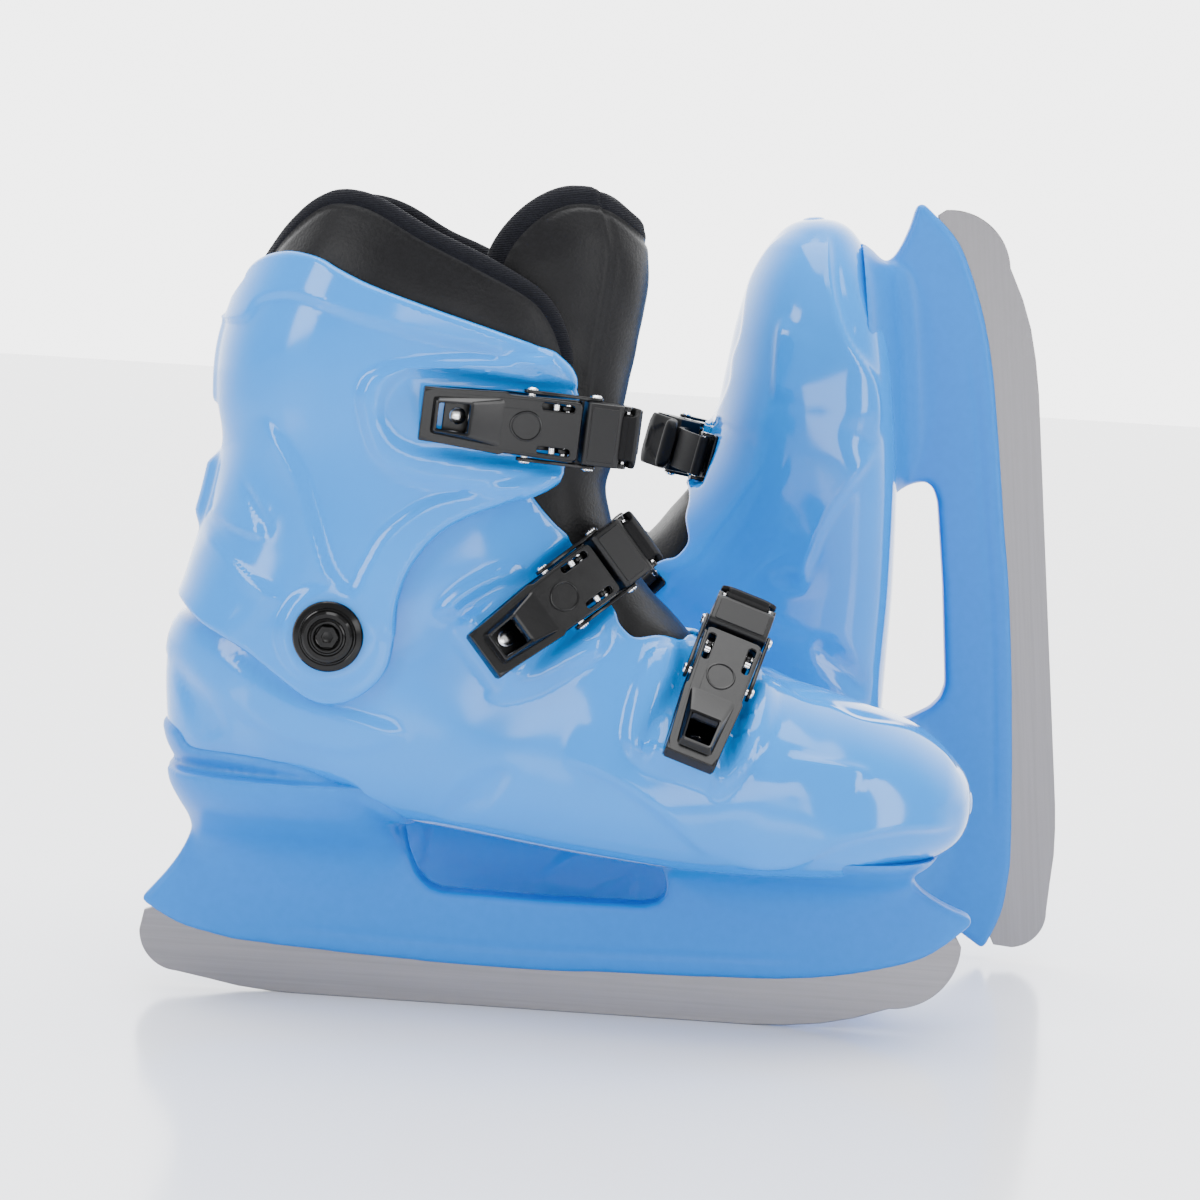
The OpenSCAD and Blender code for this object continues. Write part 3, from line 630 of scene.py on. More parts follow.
# ---- shell
# Moulded relief as height, shape and line at x, z. A shape of one number is a raised
# or sunk outline and how soft its edge is, and a longer one is a crease.
SHELL_RELIEF = [
    (1.5, (3.5,), [(-160, 141), (-150, 141.5), (-136.9, 141.6), (-123.4, 134.8), (-112.9, 127.8),
        (-99.7, 119.7), (-87.9, 115.4), (-70, 112), (-56, 108), (-59.4, 102.9), (-72.7, 98.7),
        (-87.4, 99.6), (-102.2, 103.7), (-115.4, 110.8), (-126.9, 117.8), (-141.4, 125.4),
        (-160, 127)]),
    (-1.6, (4,), [(-139.4, 119.7), (-131.6, 117), (-123.2, 109.8), (-119.6, 102.8), (-126.4, 98.6),
        (-132.4, 104.1), (-136.3, 111.9)]),
    (-2.2, (4.5,), [(-38.1, 76.9), (-34.9, 84.4), (-25.8, 93.9), (-17.7, 96.7), (-16.5, 93.6),
        (-20.3, 85.8), (-30.6, 79.1)]),
    (2.4, (2.4, 14), [(60.5, 69.2), (48.8, 80.4), (33.2, 91.3), (15.6, 99.8), (2.4, 101.8)]),
    (2.6, (2.2, 12), [(150, 85.6), (144.5, 84.8), (123.5, 84.9), (103.6, 80.6), (87.3, 71.2),
        (74.5, 69.2), (60.5, 69.2)]),
    (1.4, (1.4, 7), [(80.4, 107.4), (92, 106.5), (108.1, 104.4), (113.3, 101.2)]),
    (1.2, (1.2, 9, 0.06), [(71.6, 132.7), (87.2, 124.8), (97.6, 122.9), (107.8, 119), (128, 114.6),
        (144, 103.3), (149.7, 92.8)]),
]
SHELL_OUTER_RELIEF = [
    (2.6, (5.5,), [(31.7, 140.7), (27.5, 130.1), (25.4, 118.4), (25.4, 110.5), (28.8, 104.9),
        (31.2, 106.1), (34.3, 119), (38.4, 131.5), (40.5, 142.5)]),
    (2.6, (5.5,), [(70.6, 131.4), (65.2, 120.5), (60, 107.9), (58.3, 95.4), (62.6, 97.7),
        (70.9, 107.9), (75.4, 117.3), (76.9, 128.1)]),
    (2.4, (2.2, 6), [(-42.3, 147.4), (-39.6, 154.7), (-29.9, 162.4), (-15.2, 169.2)]),
    (2.8, (6,), [(-21.4, 123.1), (-14.7, 130.6), (-7.8, 135.2), (1.9, 142.8), (14, 147),
        (14, 140.4), (7.5, 136.1), (-7.3, 127.1)]),
]


def relief(p, table, start=0.0):
    """Height of the moulded relief at x, z, on top of start."""
    h = np.zeros(len(p)) + start
    for height, shape, line in table:
        h += height * (plateau if len(shape) == 1 else crease)(p, line, *shape)
    return h


def above_ground(points):
    """The points moved in, if need be, so that the left skate's heel stays above the floor."""
    least = (FLOOR_GAP - LEFT_POS[2] - points[:, 2] * UP[2]) / LEFT_AXES[0, 2]
    points[:, 0] = np.maximum(points[:, 0], least)
    return points


def skin(table, v, half_cols, centre):
    """Points, faces and outward normals of a loft."""
    rings = loft(table, v, half_cols)
    base = rings.reshape(-1, 3)
    return base, *outward(base, grid(len(rings), rings.shape[1], True), centre)


def relief_of(base, common, outer_only, span):
    """Side view of the points, share of the outer side, and height of the relief there."""
    side = base[:, [0, 2]]
    lateral = step(-base[:, 1], *span)
    plain = relief(side, common)
    return side, lateral, plain + (relief(side, outer_only, plain) - plain) * lateral


def wall_behind(base, outer, normal, deepest):
    """The inner skin of a moulded wall, set back further where the outer one is pressed in."""
    depth = ((base - outer) * normal).sum(1)
    return base - normal * np.maximum(WALL, np.minimum(depth + WALL / 2, deepest))[:, None]


def trimmed(outer, inner, faces, f, turns=5):
    """The wall between two skins, where f > 0."""
    data, faces = clip(np.hstack([outer, inner]), faces, f)
    return thick(data[:, :3], data[:, 3:], faces, turns)


THROAT = smooth_line([
    (-60, 240), (-30, 222), (-20, 204), (-14, 193), (-6, 184), (0, 179), (8, 171), (14, 163),
    (17.6, 156.7), (18.5, 151.9), (21.2, 148.1), (26.4, 144.8), (35.3, 145.8), (42.4, 144.2),
    (48, 145), (54, 150), (70, 240)], True, 5)


def make_shell():
    v = np.linspace(0, 22, 177)
    rings = loft(BOOT, v, 92)
    tip = rings[0].mean(0)
    cap = []
    for t in np.radians([84, 68, 50, 34, 17]):
        cap.append(tip + (rings[0] - tip) * math.cos(t) + [1.1 * math.sin(t), 0, 0])
    rings = np.array(cap + list(rings))
    base = rings.reshape(-1, 3)
    cols = rings.shape[1]
    faces = grid(len(rings), cols, True) + [tuple(range(cols))]
    faces, normal = outward(base, faces, [0, 0, 120])
    side, _, height = relief_of(base, SHELL_RELIEF, SHELL_OUTER_RELIEF, (2, 9))
    height *= step(150 - base[:, 0], 0, 10)
    outer = base + normal * height[:, None]
    for b in ("instep", "toe"):
        outer = seat(outer, BUCKLES[b])
    outer = above_ground(outer)
    inner = wall_behind(base, outer, normal, 8)
    wall = trimmed(outer, inner, faces, -inside(side, THROAT))
    return BVHTree.FromPolygons([tuple(q) for q in base], faces[:-1]), wall


SKIN, shell = make_shell()
emit("shell", "boot", "shell_blue", [BLUE], *shell[:2], sharp=48)


def off_skin(points):
    """How far points stand off the shell's plain skin."""
    out = np.empty(len(points))
    for k, q in enumerate(points):
        at, normal, _, _ = SKIN.find_nearest(Vector(q))
        out[k] = (Vector(q) - at).dot(normal)
    return out


# ---- holder
def plan_rings(table):
    """A solid through ovals in plan, each height, rear end, front end and half width."""
    table = np.array(table, float)
    rows = spline(table, np.linspace(0, len(table) - 1, (len(table) - 1) * 6 + 1))
    c, w = squared(np.radians(np.arange(96) * 3.75), 2 / 2.8)
    rings = [np.stack([(r[1] + r[2]) / 2 + (r[2] - r[1]) / 2 * c, r[3] * w, np.full(96, r[0])], 1)
        for r in rows]
    return *ring_loft(rings, True), 0


FOOT = smooth_line([(-150.5, 31), (-138, 24.4), (-126, 21.4), (-115, 19.5), (-92, 18.1), (-69, 17),
    (-35, 15.9), (-2, 15.7), (21, 16.5), (54, 17.3), (87, 18.6), (110, 21.6), (131, 26.9),
    (142, 31.8), (152, 40)])
WINDOW = np.array([(-57, 72), (-54, 58), (-50.5, 50), (-46.5, 45.6), (-41, 43.4), (0, 42.6),
    (34, 43.2), (39.5, 44.4), (42.5, 47), (43.2, 51), (41.8, 57), (38, 62), (38, 68)])


CUP_EDGE = smooth_line([
    (-175, 30), (-175, 101), (-152, 101), (-139.4, 98.2), (-133.4, 92.6), (-115, 92.4),
    (-93.7, 90.2), (-77.9, 84.8), (-62, 78.4), (-53, 71), (-46, 63), (-40, 54), (-40, 30)], True, 4)


def make_holder():
    upper = smooth_line([(152, 40), (156.2, 45.4), (147, 49.6), (139.5, 53.5), (134.5, 57.5),
        (133, 62), (133, 68)])
    heel = smooth_line([(-133, 74), (-134, 64), (-137, 54.5), (-143, 44.5), (-152.5, 33)])
    web = extrude(np.vstack([FOOT, upper[1:], WINDOW[::-1], heel]), -WEB_HALF, WEB_HALF, bevel=1.6,
        axis="y", steps=3)
    toe = plan_rings([[42, 42, 141, 6], [50, 42.5, 138, 8], [56, 41, 134, 14], [61, 38, 134, 26],
        [66, 34, 139, 38], [70, 32, 142, 44]])
    back = plan_rings([[42, -143, -46, 6], [52, -138, -51, 9], [59, -135, -54, 15],
        [66, -136, -57, 25], [73, -139.5, -58, 35], [80, -143, -56, 40.5], [86, -144, -54, 43]])
    cup, faces, normal = skin(BOOT, np.linspace(9, 19, 91), 80, [-60, 0, 130])
    p, f, _ = trimmed(cup + 1.9 * normal, cup - 3 * normal, faces, inside(cup[:, [0, 2]], CUP_EDGE))
    p, faces = remesh([(*web, 0), toe, back, (p, f, 0)], 1.25, 7)
    line = FOOT.copy()
    line[:, 1] += 8
    groove = ridge(p[:, [0, 2]], line[20:-20:4], 1.1) * (np.abs(p[:, 1]) > 4.5)
    p[:, 1] -= np.sign(p[:, 1]) * 0.45 * (groove * step(p[:, 2], 18, 22))
    near = p[:, 2] > 52
    f = np.full(len(p), 9.0)
    f[near] = off_skin(p[near]) + 2.2
    return clip(p, faces, f)


emit("blade_holder", "boot", "holder_blue", [SATIN], *make_holder(), sharp=0)


# ---- blade
def make_blade():
    toe, heel = ([(x + r * math.cos(a), z + r * math.sin(a)) for a in np.radians(np.linspace(start,
        end, count))] for x, z, r, start, end, count in ((128, 34.5, 25, -90, 0, 25),
        (-138, 20.5, 15, 180, 268, 20)))
    bottom = [(-126, 3.4), (-115, 1.4), (-104, 0.4), (-94, 0), (-60, 0), (0, 0), (50, 0), (76, 0),
        (90, 0.7), (103, 2.2), (115, 5)]
    outline = np.array(heel + bottom + toe + [(151, 38), (130, 36), (105, 30), (-105, 30),
        (-135, 34), (-151.5, 28)])
    return extrude(outline, -BLADE_HALF, BLADE_HALF, bevel=0.35, axis="y")


emit("blade", "boot", "blade_steel", [STEEL], *make_blade(), sharp=30)

# ---- cuff
CUFF_EDGE = smooth_line([
    (-122.5, 262), (-119.5, 267.5), (-115.1, 270.9), (-110, 272.8), (-102.8, 273.6), (-93.2, 271.9),
    (-86.3, 268.6), (-73.8, 263.4), (-51.9, 256.6), (-30.2, 250.4), (-14, 245.4), (-7.5, 241.4),
    (-3, 236), (-1, 224), (-3.5, 209), (-7.4, 201.1), (-21.9, 194), (-36.5, 187.7), (-48, 179.5),
    (-57, 165.9), (-60.6, 152.6), (-60.9, 138.4), (-63.7, 128.3), (-72, 120.4), (-80.7, 117.6),
    (-88.5, 119.2), (-96.5, 124.2), (-111.6, 134.6), (-129, 142.6), (-140, 149.5), (-152, 153),
    (-170, 153), (-170, 252), (-135, 252)], True, 5)


POCKET = [(-67.4, 221.5), (-66.6, 228), (-62.6, 234.2), (-54.1, 236.9), (-34.8, 236.4),
    (-3.9, 233.7), (6, 233), (6, 204), (-6.6, 204.9), (-22.5, 205.8), (-44.1, 207.9),
    (-59.3, 210.2), (-66.1, 216.8)]


CUFF_RELIEF = [
    (1.3, (2.2,), [(-135, 252), (-119.8, 250.3), (-113.4, 257.8), (-101.6, 260.1), (-92.3, 258.1),
        (-73.3, 252.8), (-46.1, 247.6), (-35.3, 246.1), (-19.1, 241.6), (-8.3, 236.2), (4, 232),
        (4, 250), (-60, 275), (-105, 290), (-140, 275)]),
    (1.2, (2.4,), [(-73.5, 152.9), (-72, 162.7), (-70.1, 167.2), (-64.1, 178.5), (-53.8, 187.8),
        (-43.3, 192.8), (-25, 197.5), (-4, 204), (-4, 195), (-36.5, 180), (-48, 160), (-56, 140)]),
    (2.0, (1.6, 13), [(-111, 218.4), (-107.2, 212.1), (-101, 204), (-94.8, 193.6), (-89.3, 177.8),
        (-82.9, 162), (-73.7, 155.1)]),
    (1.5, (1.5, 9), [(-133.2, 174.9), (-125.1, 168.8), (-115.7, 161.3), (-103.6, 153.8),
        (-98.9, 149.9)]),
    (1.2, (1.4, 8), [(-106.1, 174.2), (-116.9, 176.4), (-124.9, 179.7), (-131.3, 181.7)]),
    (-0.9, (2.5,), [(-116.4, 191.6), (-112.7, 183.3), (-108.7, 177.2), (-106.2, 175.3),
        (-106.6, 178.5), (-110.5, 185.7)]),
]
CUFF_OUTER_RELIEF = [
    (-1.3, (3,), POCKET),
    (2.4, (4,), [(-50, 240), (-69.2, 235.4), (-74.3, 229.7), (-74.6, 223.2), (-71.3, 211.6),
        (-66.6, 204.3), (-54.4, 198.6), (-32.7, 196.6), (-16.6, 195.3), (0, 196), (2, 242),
        (-20, 243)]),
]


def make_cuff():
    base, faces, normal = skin(CUFF, np.linspace(0, 11, 150), 128, [-60, 0, 200])
    side, lateral, height = relief_of(base, CUFF_RELIEF, CUFF_OUTER_RELIEF, (6, 14))
    back = step(-base[:, 0], 96, 112)
    high = base[:, 2]
    spine = step(17 - np.abs(base[:, 1]), 0, 5)
    blocks = (3.6 * step(high, 172, 180) * step(203 - high, 0, 7) + 1.2 * step(high, 217, 222) - 4.2
        * step(high, 202, 208) * step(220 - high, 0, 5) - 3.5 * step(high, 249, 255))
    height += back * spine * blocks
    outer = base + normal * height[:, None]
    # the flat seat round the ankle pivot
    far = np.hypot(base[:, 0] - PIVOT[0], base[:, 2] - PIVOT[2])
    weight = step(19.5 - far, 0, 4)
    outer[:, 1] += (np.sign(base[:, 1]) * CUFF_SEAT - outer[:, 1]) * weight
    outer = above_ground(outer)
    outer = seat(outer, BUCKLES["cuff"], plateau(side, POCKET, 4) * lateral)
    inner = wall_behind(base, outer, normal, 7.5)
    return trimmed(outer, inner, faces, inside(side, CUFF_EDGE))


emit("cuff", "cuff", "shell_blue", [BLUE], *make_cuff()[:2], sharp=48)


# ---- pivot caps
def make_caps():
    parts = []
    for s in (-1, 1):
        p, faces = revolve([[4.2, 0.4], [6, 0.4], [6, 5.1], [12.2, 5.1], [12.6, 5.5], [12.6, 6.3],
            [12.1, 6.9], [10.4, 7.3], [9.9, 7.1], [9.5, 7.3], [9.0, 8.5], [8.2, 9.1], [6.9, 9.1],
            [6.4, 8.5], [5.9, 8.6], [5.5, 9.0], [4.9, 9.0], [4.6, 8.6], [4.4, 6.6], [3.0, 6.3]], 72)
        parts.append((p, faces, 0))
        socket, core = ([(r * math.cos(a), r * math.sin(a)) for a in np.radians(np.arange(6) * 60)]
            for r in (4.2, 2.1))
        parts.append((*extrude(socket, 6.0, 8.3, [core], bevel=0.2), 0))
        for q, _, _ in parts[-2:]:
            q[:] = q[:, [0, 2, 1]] * [1, s, 1] + [PIVOT[0], s * CAP_SEAT, PIVOT[2]]
        if s > 0:
            parts[-2:] = [(q, [f[::-1] for f in fs], k) for q, fs, k in parts[-2:]]
    p, faces, _ = joined(*parts)
    return p, [f[::-1] for f in faces]


emit("pivot_caps", "boot", "cap_black", [CAP], *make_caps(), sharp=30)


# ---- the soft inner boot
def wavy(p, size, seed):
    """A slow unevenness, as soft goods have."""
    rng = np.random.default_rng(seed)
    out = np.zeros(len(p))
    for _ in range(7):
        k = rng.normal(size=3) / size
        out += np.sin(p @ k * 2 * np.pi + rng.uniform(0, 6.28))
    return out / 7


ROOM = smooth_line([(-60, 240), (-34, 222), (-26, 204), (-19, 192), (-10, 181), (-2, 173), (6, 166),
    (12, 157), (15, 150), (20, 144), (27, 141), (36, 141.5), (46, 139), (56, 141), (70, 150),
    (70, 240)], True, 5)


def make_liner():
    rings = loft(BOOT, np.linspace(0.6, 22, 130), 60)
    base, cols = rings.reshape(-1, 3), rings.shape[1]
    faces, normal = outward(base, grid(len(rings), cols, True) + [tuple(range(cols))], [0, 0, 120])
    puff = 0.35 * wavy(base, 30, 3)[:, None]
    outer = base - normal * (4.3 - puff)
    inner = base - normal * (9 + puff)
    return trimmed(outer, inner, faces, -inside(base[:, [0, 2]], ROOM), 8)


def bound_wall(outer, inner, faces, f, rim, width):
    """A padded wall where f > 0, whose faces nearer its rim than width are binding."""
    data, faces = clip(np.hstack([outer, inner, rim[:, None]]), faces, f)
    data, faces, bound = clip(data, faces, data[:, 6] - width, True)
    p, all_faces, kinds = thick(data[:, :3], data[:, 3:6], faces, 8)
    return p, all_faces, bound + [1] * (len(kinds) - len(bound))


emit("liner_boot", "boot", "liner_leather", [LEATHER, BINDING, LEATHER], *make_liner(), sharp=0,
    fill=0.5)

COLLAR_EDGE = smooth_line([(-128, 262), (-120, 275), (-110, 286), (-100, 294), (-89, 297),
    (-75, 294.5), (-56, 285), (-34.5, 275.3), (-16, 266.5), (-8, 259), (-2.5, 249), (-0.5, 238),
    (-4, 214), (-10, 206), (-30, 200), (-64, 196), (-126, 186), (-160, 186), (-160, 262)], True, 5)


def make_collar():
    base, faces, normal = skin(CUFF, np.linspace(3.6, 10.9, 110), 110, [-60, 0, 240])
    f = inside(base[:, [0, 2]], COLLAR_EDGE)
    top = f + np.where(base[:, 2] < 232, 60, 0)
    piping = step(PIPING["collar"] - top, 0, 0.7)
    pillow = 1.6 * step(top, 3, 20) - 0.9 * np.exp(-((top - 3.4) / 1.0) ** 2)
    swell = 0.5 * wavy(base, 34, 5)
    free = step(base[:, 2], 236, 262)
    out_by = 4.2 - free * (pillow + swell) - 0.2 * piping
    outer = base - normal * out_by[:, None]
    inner = base - normal * (10.8 + free * (0.9 * pillow + swell))[:, None]
    return bound_wall(outer, inner, faces, f, top, PIPING["collar"])


emit("liner_collar", "cuff", "liner_leather", [LEATHER, BINDING], *make_collar(), sharp=0, fill=0.6)


# ---- tongue
TONGUE_EDGE = smooth_line([(-33, 262), (-31.5, 273), (-28, 282), (-23, 289), (-16, 295.5),
    (-8, 299.5), (0, 300.5), (8, 298.5), (15, 294.5), (22, 288.5), (30, 281), (50, 250), (70, 200),
    (70, 120), (-40, 120)], True, 5)


def make_tongue():
    rows, cols = 150, 64
    s = spline(TONGUE, np.linspace(0, len(TONGUE) - 1, rows))
    a = np.radians(np.linspace(-90, 90, cols + 1))
    n = np.stack([np.cos(np.radians(s[:, 2])), np.zeros(rows), np.sin(np.radians(s[:, 2]))], 1)
    front = np.stack([s[:, 0], np.zeros(rows), s[:, 1]], 1)
    back = (np.cos(a) - 1)[None, :, None]

    def layer(t):
        p = front[:, None] - n[:, None] * t[:, None, None]
        p = p + n[:, None] * (s[:, 4] - t)[:, None, None] * back
        p[..., 1] = (s[:, 3] - t)[:, None] * np.sin(a)[None]
        return p.reshape(-1, 3)

    outer, inner = layer(np.zeros(rows)), layer(s[:, 5])
    faces = grid(rows, cols + 1)
    faces, normal = outward(outer, faces, [-60, 0, 240])
    f = inside(outer[:, [0, 2]], TONGUE_EDGE)
    angle = np.tile(np.degrees(np.abs(a)), rows)
    arc = (90 - angle) / 90 * 62
    high = outer[:, 2]
    rim = np.minimum(f, np.where(high > 200, arc, 60))
    panel = np.exp(-((arc - 34) / 0.9) ** 2) * step(high, 206, 214)
    pillow = 1.8 * step(rim, 2, 18) - 0.8 * np.exp(-((rim - 2.6) / 0.9) ** 2)
    welt = 1.3 * np.exp(-((arc - 32.4) / 1.1) ** 2) * step(high, 206, 214)
    lift = pillow + 0.5 * wavy(outer, 30, 9) - 1.1 * panel + welt
    outer = outer + normal * lift[:, None]
    inner = inner - normal * (0.8 * step(rim, 5, 20))[:, None]
    return bound_wall(outer, inner, faces, f, rim, PIPING["tongue"])


emit("tongue", "boot", "liner_leather", [LEATHER, BINDING], *make_tongue(),
    nodes=["tongue", "tongue_top"], sharp=0, fill=0.55, bend=("boot", "cuff", (0, 0, 168),
    (0, 0, 214)))


# ---- buckles
def cheeks(outline, near, far, bevel=0.3, kind=0):
    """A plate on each side of the buckle, from near to far in Y."""
    return [(*extrude(outline, *sorted((s * near, s * far)), bevel=bevel, axis="y"), kind)
        for s in (-1, 1)]


def slant(p, start, end, share):
    """Narrows a piece towards its tail."""
    p = p.copy()
    p[:, 1] *= 1 - share * step(-p[:, 0], -start, -end)
    return p


def hood():
    """Raised frame round the lever's window: tail, front, half widths, corner and height."""
    rings = []
    for x0, x1, h0, h1, r, z in (
            (-44.6, -21.5, 7.6, 8.6, 1.5, 4.2), (-44.2, -22.4, 7.2, 8.1, 1.5, 4.75),
            (-43.6, -30.2, 6.4, 6.5, 1.2, 7.0), (-43.2, -30.7, 6.0, 6.1, 1.0, 7.3),
            (-42.6, -31.4, 5.4, 5.5, 0.9, 7.1), (-42.4, -31.6, 5.2, 5.3, 0.9, 6.6),
            (-42.4, -31.6, 5.2, 5.3, 0.9, 2.9)):
        q = rounded([(x0, -h0), (x1, -h1), (x1, h1), (x0, h0)], r)
        rings.append(np.column_stack([q, np.full(len(q), z)]))
    return ring_loft(rings)


def make_lever():
    top = rounded([(-48, -9.3), (-48, 9.3), (-44, 10.8), (-21.5, 11), (-20.6, 10.2), (3.4, 10.2),
        (4.4, 9), (4.4, -9), (3.4, -10.2), (-20.6, -10.2), (-21.5, -11), (-44, -10.8)], 0.8)
    window = rounded([(-42.4, -5.3), (-31.6, -5.3), (-31.6, 5.3), (-42.4, 5.3)], 1)
    slots = [rounded([(-10, s * 6.4), (1.6, s * 6.4), (1.6, s * 9), (-10, s * 9)], 1.3)
        for s in (-1, 1)]
    parts = [(*extrude(top, 2.9, 4.4, [window, *slots], bevel=0.4), 0)]
    wall = rounded([(-LEVER_LEN, 3.9), (-LEVER_LEN, 0), (-LEVER_LEN + 3, -5.2), (-20, -5.2),
        (0, -4.5), (3.2, -3.2), (4.5, 0), (3.2, 3.2), (2, 3.9)], 0.9)
    parts += cheeks(wall, 9.3, LEVER_HALF, 0.4)
    lip = rounded([(-48, 4.4), (-48, -1.5), (-46.4, -1.5), (-45.2, 1.5), (-44.5, 4.2)], 0.6)
    parts.append((*extrude(lip, -10.4, 10.4, bevel=0.4, axis="y"), 0))
    parts.append((*hood(), 0))
    emblem = []     # a plain raised ring
    for a in np.radians(np.arange(48) * 7.5):
        b = np.radians(np.arange(8) * 45)
        r = 5.0 + 0.42 * np.cos(b)
        x, y, z = -14.5 + r * math.cos(a), r * math.sin(a), 4.42 + 0.32 * np.sin(b)
        emblem.append(np.stack([x, y, z], 1))
    emblem.append(emblem[0])
    parts.append((*ring_loft(emblem), 0))
    for s in (-1, 1):
        p, f = rod((-4.6, 2.2), 1.2, 1.3)
        parts.append((p + [0, s * 7.7, 0], f, 1))
    p, f, k = joined(*parts)
    p[:, 0] -= TAIL * step(-p[:, 0], 16, 30)
    return slant(p, -26, -52, 0.14), f, k


def make_links():
    parts = []
    inner = LEVER_HALF + 0.3
    body = rounded([(-16.4, -0.8 + 2.2), (-16.4, -0.8 - 2.2), (-12, -3.2), (-4, -1.9), (6, -2.7),
        (11.6, -1.8), (11.6, 1.8), (7, 2.7), (-4, 1.7), (-11, 2.4)], 1.8, 6)
    for s, cheek in zip((-1, 1), cheeks(body, inner, inner + 1.3)):
        parts.append(cheek)
        for at in (LINK_PIN, LINK_END):
            p, f = revolve([[2.1, 0], [2.1, 0.5], [1.6, 0.95], [0.6, 1.05]], 20)
            q = np.stack([p[:, 0] + at[0], s * (inner + 1.2) + s * p[:, 2], p[:, 1] + at[1]], 1)
            parts.append((q, [g[::-1] for g in f] if s > 0 else f, 1))
    parts.append((*rod(LINK_PIN, inner + 0.7, 1.4), 1))
    return joined(*parts)


def strap_arc(b, start, end, count):
    """Angles along the buckle's circle, which its strap follows."""
    a = [math.atan2(q[1] - b.centre[1], q[0] - b.centre[0]) for q in (start, end)]
    return np.linspace(a[0], a[1], count)


def on_arc(b, angle, out):
    return b.centre + (b.radius + out) * np.array([math.cos(angle), math.sin(angle)])


def make_strap(b):
    """Ladder strap and the box that holds it."""
    parts = []
    ends = strap_arc(b, STRAP_START, b.anchor, 2)
    length = abs(ends[1] - ends[0]) * b.radius
    count = int(length / 0.55) + 2
    arc = strap_arc(b, STRAP_START, b.anchor, count)
    outer = []
    for k, a in enumerate(arc):
        run = length * k / (count - 1)
        tooth = (run % PITCH) / PITCH
        teeth = 0.55 * (1 - tooth) if 14 < run < length - 16 else 0.25
        outer.append(on_arc(b, a, 0.65 + teeth))
    inner = [on_arc(b, a, -1.2) for a in arc[::-1][::3]]
    outline = np.array(outer + inner)
    parts.append((*extrude(outline, -STRAP_HALF, STRAP_HALF, bevel=0.3, axis="y", steps=1), 0))
    parts.append((*rod(b.anchor, STRAP_HALF, 2.2), 0))
    box = rounded([(6, -7.7), (17.5, -7.7), (19.4, -2), (19.0, 4.8), (17.4, 5.6), (7.2, 5.6),
        (6, 4.6)], 0.9)
    parts.append((*extrude(box, -11, 11, bevel=0.7, axis="y", steps=3), 1))
    face = rounded([(7.6, -9.4), (17.2, -9.4), (17.2, 9.4), (7.6, 9.4)], 0.8)
    parts.append((*extrude(face, 5.1, 5.95, bevel=0.25), 1))
    lug = rounded([(15, -1.6), (20.6, -1.2), (22.4, 1.6), (21.0, 4.2), (15, 4.7)], 1.2)
    parts += cheeks(lug, 9.2, LEVER_HALF, kind=2)
    parts.append((*rod(TAB_PIN, 10.9, 0.9), 3))
    return joined(*parts)


def make_tab(b):
    """Rubber flap that bends from its pin down over the strap."""
    turn = -1 if b.anchor[1] < b.centre[1] or b.anchor[0] > 7.5 else 1
    over = 2.3
    at_pin = math.atan2(TAB_PIN[1] - b.centre[1], TAB_PIN[0] - b.centre[0])
    knots = [(18.2, 3.3), (20.6, 3.6), (22.6, 2.2)]
    for run in (9, 15, 21, 27, 33):
        knots.append(on_arc(b, at_pin + turn * run / b.radius, over))
    path = smooth_line(knots, per=24)
    along = np.concatenate([[0], np.cumsum(np.linalg.norm(np.diff(path, axis=0), axis=1))])
    rows, cols, length = 64, 96, 29.0
    run = np.linspace(0, length, rows)
    path = np.stack([np.interp(run, along, path[:, 0]), np.interp(run, along, path[:, 1])], 1)
    tangent = np.gradient(path, axis=0)
    tangent /= np.linalg.norm(tangent, axis=1, keepdims=True)
    up = np.stack([-tangent[:, 1], tangent[:, 0]], 1)
    up *= np.sign((up * (path - b.centre)).sum(1))[:, None]
    ends = np.sqrt(np.maximum(0.004, 1 - np.clip((run - length + 4) / 4, 0, 1) ** 2))
    first = np.sqrt(np.maximum(0.004, 1 - np.clip((1.4 - run) / 1.4, 0, 1) ** 2))
    half_w = (7.6 + 3.0 * step(run, 3.5, 6.5) - 0.6 * step(run, 18, 27)) * (0.45 + 0.55 * ends)
    depth = (1.6 + 2.6 * step(run, 2, 10) + 0.8 * step(run, 20, 26)) * ends * first
    c, w = squared(np.radians(np.arange(cols) * 360 / cols), 0.4)
    pentagon = np.array([(8, -3), (8, 3), (15.5, 7.4), (23.5, 7.0), (23.5, -7.0), (15.5, -7.4)])
    rings = []
    for k in range(rows):
        y = half_w[k] * c
        flat = inside(np.column_stack([np.full(cols, run[k]), y]), pentagon)
        dip = 0.8 * step(flat, -0.4, 0.4) * (w > 0.5)
        out = depth[k] / 2 * (1 + w) - dip
        rings.append(np.stack([path[k, 0] + up[k, 0] * out, y, path[k, 1] + up[k, 1] * out], 1))
    return joined((*ring_loft(rings, True), 0), (*rod(TAB_PIN, 8.4, 1.9), 0))


